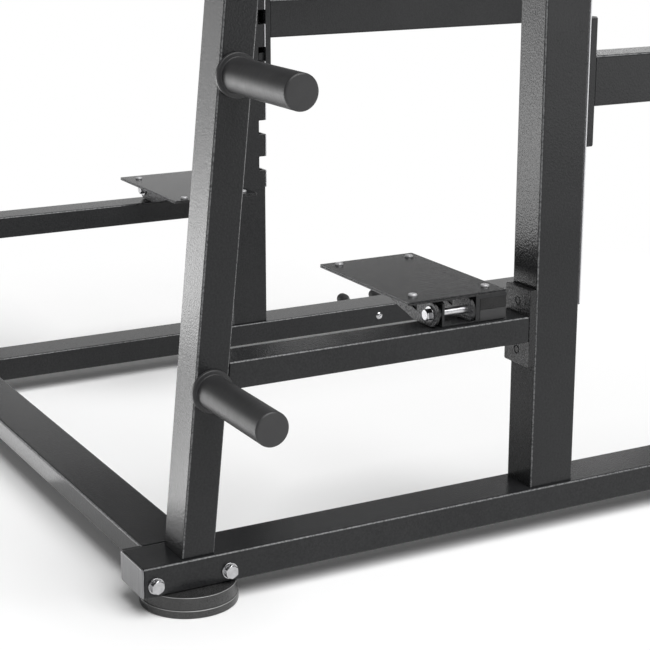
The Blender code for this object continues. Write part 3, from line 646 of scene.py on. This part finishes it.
def base_side():
    """The long base tube, its end plates, and the two feet."""
    height, length, thick, from_end = BASE_TOP - BASE_HEIGHT / 2, 2 * HALF_LENGTH, 0.003, 0.090
    start, end = at(MIDDLE, thick + GAP, height), at(MIDDLE, length - thick - GAP, height)
    tube = carried(rectangle(BASE_WIDTH, BASE_HEIGHT), start, end, X_AXIS, Z_AXIS, 0.0004)
    pair("base_side_tube_{side}_skin", tube, "powder_coat", ["base_side_tube_{side}"])
    end_shape = rectangle(BASE_WIDTH, BASE_HEIGHT, CORNER + 0.0002)
    pad_radius, pad_top, disc_radius, disc_top = 0.0737, 0.0124, 0.072, 0.0322
    stud_radius, stud_top = 0.006, 0.0515
    ends = (("rear", thick / 2, from_end), ("front", length - thick / 2, length - from_end))
    for name, plate_at, foot_at in ends:
        cap = plate(end_shape, at(MIDDLE, plate_at, height), X_AXIS, Z_AXIS, thick, 0.00148)
        pair(f"end_plate_{name}_{{side}}", cap, "brushed_steel", [f"base_end_cap_{name}_{{side}}"])
        place = at(MIDDLE, foot_at, 0.0)
        pad = disc(pad_radius, (0, pad_top), (0.0022, 0.0022), place, Z_AXIS, 96)
        pair(f"foot_rubber_{name}_{{side}}", pad, "black_rubber", [f"foot_pad_{name}_{{side}}"])
        low = pad_top + 0.0001
        profile = [(0, low, 0), (disc_radius, low, 0.0004), (disc_radius, disc_top, 0.0018)]
        profile += [(stud_radius, disc_top, 0.0005), (stud_radius, stud_top, 0.0008), (0, stud_top, 0)]
        foot = turned(profile, place, Z_AXIS, 96)
        nodes = [f"foot_disc_{name}_{{side}}"]
        pair(f"foot_plate_{name}_{{side}}", foot, "powder_coat", nodes, "black_rubber")


def base_bolts():
    """Hexagon bolts on large washers, where the cross tube's flanges meet the base tubes."""
    thick = 0.0022
    for number, forward in enumerate((0.0205, 0.1375), 1):
        place = at(-0.0002, forward, 0.051)
        washer = disc(0.0125, (0, thick), (0.0003, 0.0006), place, -X_AXIS)
        pair(f"base_washer_{number}_{{side}}", washer, "zinc_plate")
        head = hexagon_head(place - (thick - 0.0001) * X_AXIS, -X_AXIS, 0.019, 0.0078)
        pair(f"base_bolt_{number}_{{side}}", head, "zinc_plate")


def cross_tubes():
    """The rear base tube with its bolting flanges, and the rear top tube."""
    rear, depth, tall = 0.0325, 0.0855, 0.038
    half = HALF_WIDTH - BASE_WIDTH - GAP
    middle = np.array((0, HALF_LENGTH - rear - depth / 2, BASE_TOP - tall / 2))
    reach = (half - 0.001) * X_AXIS
    tube = carried(rectangle(depth, tall), middle - reach, middle + reach, Y_AXIS, Z_AXIS)
    thick = 0.006
    flange_at = np.array((thick / 2 - half, HALF_LENGTH - 0.078, middle[2]))
    flange = plate(rectangle(0.150, 0.035), flange_at, Y_AXIS, Z_AXIS, thick)
    both = tube + flange + flange.mirrored()
    piece("rear_base_tube_skin", both, "powder_coat", ["rear_base_tube"])
    middle = np.array((0, HALF_LENGTH - slant_forward(UPRIGHT_TOP) - 0.008, TOP_MIDDLE))
    reach = (HALF_WIDTH - MIDDLE - POST_WIDTH / 2 - GAP) * X_AXIS
    top = carried(rectangle(POST_WIDTH, 0.050), middle - reach, middle + reach, Y_AXIS, Z_AXIS)
    piece("rear_top_tube_skin", top, "powder_coat", ["rear_top_tube"])


def leaning_post():
    """The leaning post: a rounded tube section that moves forward as it rises."""
    low, high = BASE_TOP + GAP, UPRIGHT_TOP - GAP
    start, end = at(MIDDLE, SLANT_FOOT, low), at(MIDDLE, SLANT_FOOT + LEAN * (high - low), high)
    post = carried(rectangle(POST_WIDTH, 0.052), start, end, X_AXIS, Y_AXIS)
    pair("leaning_post_{side}", post, "powder_coat", ["slanted_upright_{side}"])


def notched_post():
    """The hollow main upright and the hard strip before it, both cut by the row of notches."""
    low, high, wall = BASE_TOP + GAP, UPRIGHT_TOP, 0.003
    depth = UPRIGHT_FRONT - UPRIGHT_REAR
    foot = at(MIDDLE, (UPRIGHT_REAR + UPRIGHT_FRONT) / 2, low)
    outside = rectangle(POST_WIDTH, depth)
    bore = rectangle(POST_WIDTH - 2 * wall, depth - 2 * wall, 0.0012)
    path = ((outside, 0), (outside, high - low), (bore, high - low), (bore, 0))
    rows = [foot + xy[:, :1] * X_AXIS + xy[:, 1:] * Y_AXIS + rise * Z_AXIS for xy, rise in path]
    lines = corner_lines(outside)
    post = skin(np.array(rows), True, np.stack((lines, lines, 0 * lines, 0 * lines)))
    strip_low, strip_high, thick = 0.374, 1.792, 0.002
    strip_at = at(MIDDLE, UPRIGHT_FRONT + GAP + thick / 2, (strip_low + strip_high) / 2)
    strip_shape = rectangle(POST_WIDTH, strip_high - strip_low, 0.002)
    strip = plate(strip_shape, strip_at, X_AXIS, Z_AXIS, thick, 0.0003)
    front, back, half = -0.006, 0.015, NOTCH_HEIGHT / 2
    corners = [(front, -half, 0.0005), (back, -half, 0.0015), (back, half, 0.0015), (front, half, 0.0005)]
    notch = outline(corners, 4)
    cutter = None
    for index in range(NOTCH_COUNT):
        middle = at(0.054, UPRIGHT_FRONT, notch_height(index))
        box = plate(notch, middle, Y_AXIS, Z_AXIS, 0.048, 0.00005)
        cutter = box if cutter is None else cutter + box
    pair("notched_post_{side}", without(post, cutter), "powder_coat", ["main_upright_{side}"])
    nodes = ["notch_strip_{side}"]
    pair("wear_strip_{side}", without(strip, cutter), "brushed_steel", nodes, "worn_steel")


def step_beam():
    """The low side beam, cut at its rear end to the leaning post, with its flange on the upright."""
    tall, thick = 0.0422, 0.012
    middle = 0.366 - tall / 2
    flange_rear = UPRIGHT_REAR - GAP - thick
    start, end = at(MIDDLE, slant_forward(middle) + 0.026 + GAP, middle), at(MIDDLE, flange_rear, middle)
    cut = Z_AXIS - LEAN * Y_AXIS
    tube = carried(rectangle(0.066, tall), start, end, X_AXIS, Z_AXIS, 0.0016, cut)
    pair("step_beam_{side}_skin", tube, "powder_coat", ["step_beam_{side}"])
    flange_at = at(MIDDLE, flange_rear + thick / 2, 0.345)
    flange = plate(rectangle(POST_WIDTH, 0.126, 0.003), flange_at, X_AXIS, Z_AXIS, thick, 0.001)
    deep = 0.002
    for name, height in (("upper", 0.385), ("lower", 0.305)):
        face = at(MIDDLE, flange_rear, height)
        flange = without(flange, disc(0.0072, (-deep, deep), (0, 0), face, Y_AXIS, 40))
        head = disc(0.0054, (0.0001 - deep, 0), (0, 0.0004), face, Y_AXIS, 40)
        pair(f"flange_bolt_{name}_{{side}}", head, "powder_coat", (), "coarse_coat")
    pair("step_flange_{side}", flange, "powder_coat", (), "coarse_coat")


def hinge_at(forward):
    """The point of the step's hinge line that is so far forward."""
    return at(HINGE[0], forward, HINGE[1])


def around_hinge(radius, start, end, count):
    """Points on a circle about the hinge, from one angle in degrees to another."""
    angle = np.radians(np.linspace(start, end, count))
    return np.stack((np.cos(angle), np.sin(angle)), axis=1) * radius


def circle(radius, count=48):
    """A round outline."""
    return around_hinge(radius, 0, 360 * (count - 1) / count, count)


def thinned(points, least=0.0003):
    """The outline without points closer than least to the one before."""
    step = np.linalg.norm(points - np.roll(points, 1, axis=0), axis=1)
    return points[step > least]


def arc_start(radius, out=HINGE_REACH):
    """The angle in degrees where a circle about the hinge meets the line so far outboard of it."""
    return 180 - math.degrees(math.acos(out / radius))


def dense(loop, longest=0.004):
    """The outline with extra points, so that no side is longer than the longest allowed."""
    loop = np.array(loop)
    parts = []
    for start, end in zip(loop, np.roll(loop, -1, axis=0)):
        count = max(1, math.ceil(np.linalg.norm(end - start) / longest))
        parts.append(start + (end - start) * np.linspace(0, 1, count, endpoint=False)[:, None])
    return np.concatenate(parts)


def lug_loop():
    """A fixed lug: flat outside up to an arc about the hinge, then a sloping inner side."""
    bottom, inner, slope = 0.3668 - HINGE[1], 0.033, 0.010
    arc = around_hinge(LUG_RADIUS, arc_start(LUG_RADIUS), 90, 14)
    return dense([(-HINGE_REACH, bottom), (inner, bottom), (inner - slope, LUG_RADIUS), *arc[::-1]])


def step_bracket():
    """The two fixed lugs on their slotted foot plate, the bosses, and the hinge bolt."""
    bottom, thick = 0.3663, 0.003
    outer, neck, far = -0.013, -0.011, 0.0335
    first, last, slot_start, slot_end = 0.511, 0.5803, 0.561, 0.569
    plan = [(outer, -last), (far, -last), (far, -slot_end), (neck, -slot_end), (neck, -slot_start)]
    plan += [(far, -slot_start), (far, -first), (outer, -first)]
    foot_loop = outline([(x, y, 0.0005) for x, y in plan], 2)
    origin = at(HINGE[0], 0.0, bottom + thick / 2)
    bracket = plate(foot_loop, origin, X_AXIS, Y_AXIS, thick, 0.0004)
    for start, thick, rib in ((0.5115, 0.0045, RIBS[0]), (0.5725, 0.0077, RIBS[1])):
        middle = hinge_at(start + thick / 2)
        bracket += pierced_plate(lug_loop(), circle(0.0069), middle, X_AXIS, Z_AXIS, thick, 0.0007)
        boss_rear, boss_front = rib + RIB_THICK + GAP, start + 0.001
        middle = hinge_at((boss_rear + boss_front) / 2)
        bracket += plate(circle(0.011), middle, X_AXIS, Z_AXIS, boss_front - boss_rear, 0.0005)
    pair("step_lugs_{side}", bracket, "powder_coat", ["step_bracket_{side}"])
    foot, thick = hinge_at(0.4952), 0.002
    shank = disc(0.0065, (0.0018, 0.0841), (0, 0.001), foot, -Y_AXIS)
    pair("hinge_shank_{side}", shank, "zinc_plate", ["step_pin_{side}"], "soft_zinc")
    head = disc(0.0128, (0, thick), (0.0004, 0.0006), foot, -Y_AXIS)
    head += hexagon_head(foot - 0.0001 * Y_AXIS, Y_AXIS, 0.0162, 0.0081)
    pair("hinge_bolt_{side}", head, "zinc_plate", ["step_pin_{side}"])


def step_rest():
    """The riser on the beam and the rubber pad on it, which carry the lowered step."""
    outer, inner, height, length = -HINGE_REACH, 0.039, 0.0184, 0.048
    riser_middle, foot, top = 0.3757 - HINGE[1], 0.385 - HINGE[1] + GAP, 0.4077 - HINGE[1]
    plane = hinge_at(0.6045)
    riser = rectangle(inner - outer, height, 0.001, ((outer + inner) / 2, riser_middle), 3)
    block = plate(riser, plane, X_AXIS, Z_AXIS, length, 0.0008)
    pair("rest_riser_{side}", block, "powder_coat", ["step_rest_riser_{side}"], "satin_black")
    arc = around_hinge(LUG_RADIUS, arc_start(LUG_RADIUS), 92, 12)
    corners = [(inner, foot, 0.0006), (inner, top, 0.003), (0.004, top, 0.0006), (outer, foot, 0.0006)]
    steps = 4
    inboard_side = outline(corners, steps)[:3 * (steps + 1)]
    loop = thinned(np.concatenate((inboard_side, arc[::-1], [(outer, foot)])))
    pad = plate(loop, plane, X_AXIS, Z_AXIS, length, 0.0006)
    pair("rest_pad_{side}", pad, "black_rubber", ["step_rest_pad_{side}"], "dull_rubber")


def step_plates():
    """The folding step: two ribs with an eye and a window, the plate and lip over them, and the tread."""
    outer, rear, width, length = 0.020, 0.4505, 0.283, 0.177
    middle = at(outer + width / 2, rear + length / 2, 0.4095)
    plan = rectangle(width, length, 0.003)
    carrier = plate(plan, middle, X_AXIS, Y_AXIS, 0.003, 0.0006)
    top, tip, knee, radius = 0.409 - HINGE[1], 0.222, 0.047, 0.020
    eye = around_hinge(radius, 96, 270, 30)
    rib = dense([(knee, -radius), (tip, top - 0.001), (tip - 0.004, top), (0.0, top), *eye], 0.006)
    near, far, low, high = 0.039, 0.123, -0.0035, 0.0172
    window = dense(outline([(near, low, 0.002), (far, high, 0.001), (near, high, 0.002)], 5), 0.003)
    for start in RIBS:
        place = hinge_at(start + RIB_THICK / 2)
        carrier += pierced_plate(rib, window, place, X_AXIS, Z_AXIS, RIB_THICK, 0.0007)
    lip_out, lip_radius = 0.0129, 0.0214
    lip_arc = around_hinge(lip_radius, arc_start(lip_radius, lip_out), 93, 10)
    lip_shape = np.array([(-lip_out, top), *lip_arc, (0.0, top)])
    lip = plate(lip_shape, hinge_at(0.6004), X_AXIS, Z_AXIS, 0.0560, 0.00005)
    pair("step_lip_{side}", lip, "powder_coat", body="step_{side}")
    # the ribs' rear-facing faces carry brighter painted glints from their coat
    pair("step_ribs_{side}", carrier, "powder_coat", ["step_carrier_{side}"], "coarse_coat_bright_glints", "step_{side}")
    tread = plate(plan, middle + 0.0028 * Z_AXIS, X_AXIS, Y_AXIS, 0.002, 0.0009)
    # the tread's rear-facing edge gets a painted highlight from its coat
    pair("step_top_{side}", tread, "powder_coat", ["step_tread_{side}"], "coat_with_rear_highlight", "step_{side}")
    places = ((0.4775, 0.285), (0.6075, 0.279), (0.6085, 0.051), (0.4785, 0.054))
    for number, (forward, inboard) in enumerate(places, 1):
        foot = at(inboard, forward, 0.4132)
        screw = button_head(foot, Z_AXIS, radius=0.0070, height=0.0034, socket=0.0030, flat=0.8)
        pair(f"tread_screw_{number}_{{side}}", screw, "zinc_plate", (), "dull_zinc", "step_{side}")


def side_plate(corners, steps, inboard, width, edge):
    """A hook's plate on edge, through corners of (forward of HOOK_REAR, height, radius)."""
    loop = outline([(-x, y, r) for x, y, r in corners], steps)
    return plate(loop, at(inboard, HOOK_REAR, 0), Y_AXIS, Z_AXIS, width, edge)


def tongue(height):
    """One hook in a notch, whose end turns down behind the upright's front wall."""
    low, thick, drop = height - NOTCH_HEIGHT / 2 + GAP, 0.016, 0.012
    front, hook_front = 0.002, 0.756 - HOOK_REAR
    hook_back = hook_front - 0.006
    corners = [(front, low, 0.0006), (front, low + thick, 0.0006), (hook_back, low + thick, 0.003)]
    corners += [(hook_back, low - drop, 0.002), (hook_front, low - drop, 0.001), (hook_front, low, 0.001)]
    return side_plate(corners, 4, 0.0503, 0.0355, 0.0008)


def spotter_arm():
    """The hooked plate, and the arm tube with its raised end plate."""
    thick = 0.012
    hook_at = at(MIDDLE, HOOK_REAR + thick / 2, 0.726)
    hook = plate(rectangle(POST_WIDTH, 0.200), hook_at, X_AXIS, Z_AXIS, thick, 0.001)
    for index in ARM_NOTCHES:
        hook += tongue(notch_height(index))
    pair("arm_hook_{side}_skin", hook, "powder_coat", ["arm_hook_{side}"], body="spotter_arm_{side}")
    tall, length = 0.078, 0.740
    middle, rear = 0.7665 - tall / 2, HOOK_REAR + thick + GAP
    start, end = at(MIDDLE, rear, middle), at(MIDDLE, rear + length, middle)
    arm = carried(rectangle(POST_WIDTH, tall), start, end, X_AXIS, Z_AXIS)
    half, low, high = POST_WIDTH / 2, -tall / 2, 0.084
    corners = [(-half, low, 0.004), (half, low, 0.004), (half, high, 0.014), (-half, high, 0.014)]
    stop_at = at(MIDDLE, rear + length + 0.004, middle)
    arm += plate(outline(corners, 8), stop_at, X_AXIS, Z_AXIS, 0.010, 0.001)
    pair("arm_tube_{side}_skin", arm, "powder_coat", ["arm_tube_{side}"], body="spotter_arm_{side}")


def bar_hook():
    """The bar hook's steel, with its upturned lip, and the plastic liner in it."""
    low, back, reach, thick, width = 1.302, 0.008, 0.110, 0.012, 0.050
    tall, plate_thick = 0.152, 0.010
    floor = low + thick
    top = floor + 0.050
    plate_at = at(MIDDLE, HOOK_REAR + plate_thick / 2, low + tall / 2)
    hook = plate(rectangle(POST_WIDTH, tall, 0.005), plate_at, X_AXIS, Z_AXIS, plate_thick, 0.001)
    corners = [(back, floor, 0.0006), (reach - thick, floor, 0.006), (reach - thick, top, 0.005)]
    corners += [(reach, top, 0.005), (reach, low, 0.016), (back, low, 0.0006)]
    hook += side_plate(corners, 10, MIDDLE, width, 0.0010)
    for index in BAR_NOTCHES:
        hook += tongue(notch_height(index))
    pair("bar_hook_{side}_skin", hook, "powder_coat", ["bar_hook_{side}"], body="bar_holder_{side}")
    back, front, low, liner = 0.0103, reach - thick - GAP, floor + GAP, 0.006
    back_top, front_top = low + 0.075, low + 0.054
    corners = [(back, low, 0.001), (back, back_top, 0.001), (back + liner, back_top, 0.002)]
    corners += [(back + liner, low + liner, 0.010), (front - liner, low + liner, 0.010)]
    corners += [(front - liner, front_top, 0.002), (front, front_top, 0.002), (front, low, 0.0065)]
    lining = side_plate(corners, 8, MIDDLE, width, 0.0010)
    nodes = ["bar_hook_liner_{side}"]
    pair("bar_hook_{side}_liner", lining, "black_plastic", nodes, body="bar_holder_{side}")


def weight_horns():
    """The plate-loading horns: a flange ring and a round bar with a softly rounded end."""
    flange, thick, radius, reach = 0.032, 0.006, 0.02525, 0.1941
    profile = [(0, 0, 0), (flange, 0, 0.0006), (flange, thick, 0.0018), (radius, thick, 0.0012)]
    profile += [(radius, reach, 0.0035), (0, reach, 0)]
    first, apart = 0.3282, 0.4464
    for index in range(4):
        height = first + apart * index
        foot = at(MIDDLE - POST_WIDTH / 2 - GAP, slant_forward(height), height)
        name = f"weight_horn_{{side}}_{index + 1}"
        pair(name + "_skin", turned(profile, foot, -X_AXIS, 96), "satin_black", [name])


def eased(share):
    """3 share^2 - 2 share^3, which goes from 0 to 1 and is level at both ends."""
    return 3 * share**2 - 2 * share**3


def band_pegs():
    """The band pegs, which swell to round knobs, and the domed bolt heads behind them."""
    height, thin, thick, knob_at = 0.056, 0.007, 0.013, 0.086
    washer = np.array([(0.0108, 0), (0.011, 0.0003), (0.011, 0.0024), (0.0105, 0.003), (thin, 0.003)])
    share = np.linspace(0, 1, 8)[:, None]
    swell = np.concatenate((thin + (thick - thin) * eased(share), 0.060 + 0.017 * share), axis=1)
    angle = np.linspace(0, math.pi / 2, 12)
    knob = np.stack((thick * np.cos(angle), knob_at + thick * np.sin(angle)), axis=1)[:-1]
    half = np.concatenate((washer, swell, knob))
    for number, forward in enumerate((1.0365, 1.1215), 1):
        name = f"band_peg_{{side}}_{number}"
        peg = revolved(half, at(-GAP, forward, height), -X_AXIS, 48)
        pair(name + "_skin", peg, "satin_black", [name])
        place = at(BASE_WIDTH - 0.0002, forward, height)
        dome = button_head(place, X_AXIS, radius=0.0085, height=0.0045, socket=0.005)
        pair(f"peg_bolt_{number}_{{side}}", dome, "zinc_plate")


def top_frame():
    """The top side beams and the pull-up bar with its welded flanges."""
    start, end = at(MIDDLE, 0.265, TOP_MIDDLE), at(MIDDLE, 1.0, TOP_MIDDLE)
    beam = carried(rectangle(POST_WIDTH, 0.076), start, end, X_AXIS, Z_AXIS, 0.0015)
    pair("top_side_beam_{side}_skin", beam, "powder_coat", ["top_side_beam_{side}"])
    half = HALF_WIDTH - MIDDLE - POST_WIDTH / 2 - GAP
    inside, straight, bend, rise, radius = 0.002, 0.060, 0.105, 0.045, 0.016
    foot = np.array((-half, HALF_LENGTH - 0.950, TOP_MIDDLE))
    across = np.linspace(inside - half, half - inside, 161)
    share = np.clip((half - straight - np.abs(across)) / bend, 0, 1)
    route = np.stack((across, np.full_like(across, foot[1]), foot[2] + rise * eased(share)), axis=1)
    flange = disc(0.032, (0, 0.006), (0.0006, 0.0015), foot, X_AXIS)
    both = bent_rod(route, radius) + flange + flange.mirrored()
    piece("pull_up_bar_skin", both, "zinc_plate", ["pull_up_bar"])


base_side()
base_bolts()
cross_tubes()
leaning_post()
notched_post()
step_beam()
step_bracket()
step_rest()
step_plates()
spotter_arm()
bar_hook()
weight_horns()
band_pegs()
top_frame()


# Studio and camera


def studio_floor():
    """A wide pale floor that takes the rack's shadow and turns plain white away from it. For camera rays
    it is also painted whiter away from the base tubes, a painted light that takes out most of the raised
    parts' shadows and keeps the contact shadows by the tubes.
    """
    radius, angle = 30, round_turn(64)
    ring = np.stack((radius * np.cos(angle), radius * np.sin(angle), 0 * angle), axis=1)
    mesh = bpy.data.meshes.new("floor")
    mesh.from_pydata(ring, [], [list(range(len(ring)))])
    floor = placed("floor", mesh)
    finish = Finish("studio_floor")
    finish.set(Base_Color=(0.94, 0.94, 0.94, 1), Roughness=0.9, Specular_IOR_Level=0.1)
    camera = finish.node("ShaderNodeLightPath", {}, {}, "Is Camera Ray")
    mirrored = finish.node("ShaderNodeLightPath", {}, {}, "Is Glossy Ray")
    away = finish.node("ShaderNodeVectorMath", {"operation": "LENGTH"}, {0: finish.place}, "Value")
    along = finish.node("ShaderNodeSeparateXYZ", {}, {0: finish.place}, "X")
    back = finish.node("ShaderNodeSeparateXYZ", {}, {0: finish.place}, "Y")
    beside = finish.size(finish.size(along) - (HALF_WIDTH - MIDDLE))
    behind = finish.size(back - (HALF_LENGTH - 0.075))
    from_base = beside.maths("MINIMUM", beside, behind)
    outside = finish.between(away, 1.2, 2.8)
    # painted light: away from the base tubes the floor is painted whiter for camera rays, lightening the
    # shadows of the raised parts
    amount = camera * (outside + finish.between(from_base, 0.05, 0.38, 0.03, 0.75)) + mirrored * outside
    glow = finish.node("ShaderNodeEmission", {}, {"Color": (1, 1, 1, 1), "Strength": 1.0})
    matt = Value(finish, finish.shader.outputs[0])
    mixed = finish.node("ShaderNodeMixShader", {}, {0: amount, 1: matt, 2: glow})
    finish.tree.links.new(mixed.socket, finish.tree.nodes["Material Output"].inputs["Surface"])
    mesh.materials.append(finish.material)


def facing(place, ahead):
    """The pose of a lamp or camera at a place that looks along a direction and stays upright."""
    return Matrix.Translation(place) @ ahead.to_track_quat("-Z", "Y").to_matrix().to_4x4()


def panel(name, size, radiance, pose):
    """A soft rectangular lamp. Its power is pi times its area times the brightness of its face."""
    light = bpy.data.lights.new(name, "AREA")
    light.shape = "RECTANGLE"
    light.size, light.size_y = size
    light.energy = math.pi * size[0] * size[1] * radiance
    lamp = placed(name, light)
    lamp.matrix_world = pose
    lamp.visible_camera = False


def standing_panel(name, size, radiance, foot, aim, low=0.0):
    """An upright panel whose lower edge is at a height. It faces level towards a place."""
    place = Vector((*foot, low + size[1] / 2))
    panel(name, size, radiance, facing(place, Vector((*aim, place.z)) - place))


def floor_panel(name, start, heading, length, left, right, radiance):
    """A panel that lies on the floor and shines up. It runs from its start along its heading in
    degrees, and reaches so far to each side of that line."""
    turn = Matrix.Rotation(math.radians(heading), 4, "Z")
    middle = Vector((*start, 0.003)) + turn @ Vector((length / 2, (left - right) / 2, 0))
    pose = Matrix.Translation(middle) @ turn @ Matrix.Rotation(math.pi, 4, "X")
    panel(name, (length, left + right), radiance, pose)


def studio_light():
    """A dim white dome, a very wide soft light overhead, and soft panels round the rack."""
    world = bpy.data.worlds.new("studio")
    bpy.context.scene.world = world
    world.use_nodes = True
    tree = world.node_tree
    path = tree.nodes.new("ShaderNodeLightPath")
    strength = tree.nodes.new("ShaderNodeMapRange")
    strength.inputs["To Min"].default_value = 0.20
    strength.inputs["To Max"].default_value = 1.0
    tree.links.new(path.outputs["Is Camera Ray"], strength.inputs["Value"])
    tree.links.new(strength.outputs["Result"], tree.nodes["Background"].inputs["Strength"])
    tree.nodes["Background"].inputs["Color"].default_value = (1, 1, 1, 1)
    sun = bpy.data.lights.new("overhead", "SUN")
    sun.energy = 3.4
    sun.angle = math.radians(52)
    placed("overhead", sun).rotation_euler = (math.radians(8), math.radians(-30), 0)
    floor_panel("step_panel", (0.56, 0.87), 35.0, 0.36, 0.12, 0.12, 1.0)
    floor_panel("post_panel", (-0.143, 0.898), 25.5, 0.97, 0.25, 0.06, 4.3)
    floor_panel("post_panel_end", (0.733, 1.3155), 25.5, 0.33, 0.25, 0.06, 3.4)
    floor_panel("tube_panel", (0.0, 0.768), 0.0, 0.60, 0.057, 0.0, 1.8)
    floor_panel("upright_panel", (1.26, 1.48), 30.0, 6.0, 0.8, 0.6, 5.3)
    floor_panel("upright_panel_start", (1.04, 0.949), 28.0, 0.49, 0.15, 0.15, 2.6)
    standing_panel("rear_panel", (3.0, 1.5), 2.1, (6.45, 4.5), (-0.5, 0.4))
    standing_panel("far_panel", (2.8, 1.26), 0.62, (2.95, -1.5), (0.06, -0.7))
    standing_panel("arm_panel", (0.5, 0.5), 1.0, (2.70, -2.60), (-0.56, -0.06), 1.15)
    standing_panel("front_panel", (2.4, 1.4), 1.0, (-4.0, -2.6), (-0.6, 0.0))


def studio_camera():
    """The photograph's view: from behind on the left, a little above the step."""
    lens = bpy.data.cameras.new("camera")
    lens.lens = 96.0
    lens.sensor_width = 36.0
    lens.clip_end = 100
    camera = placed("camera", lens)
    camera.matrix_world = facing(Vector((-2.738, 1.6255, 1.081)), Vector((0.8474, -0.4583, -0.2681)))
    bpy.context.scene.camera = camera


studio_floor()
studio_light()
studio_camera()
bpy.context.scene.view_settings.view_transform = "Standard"
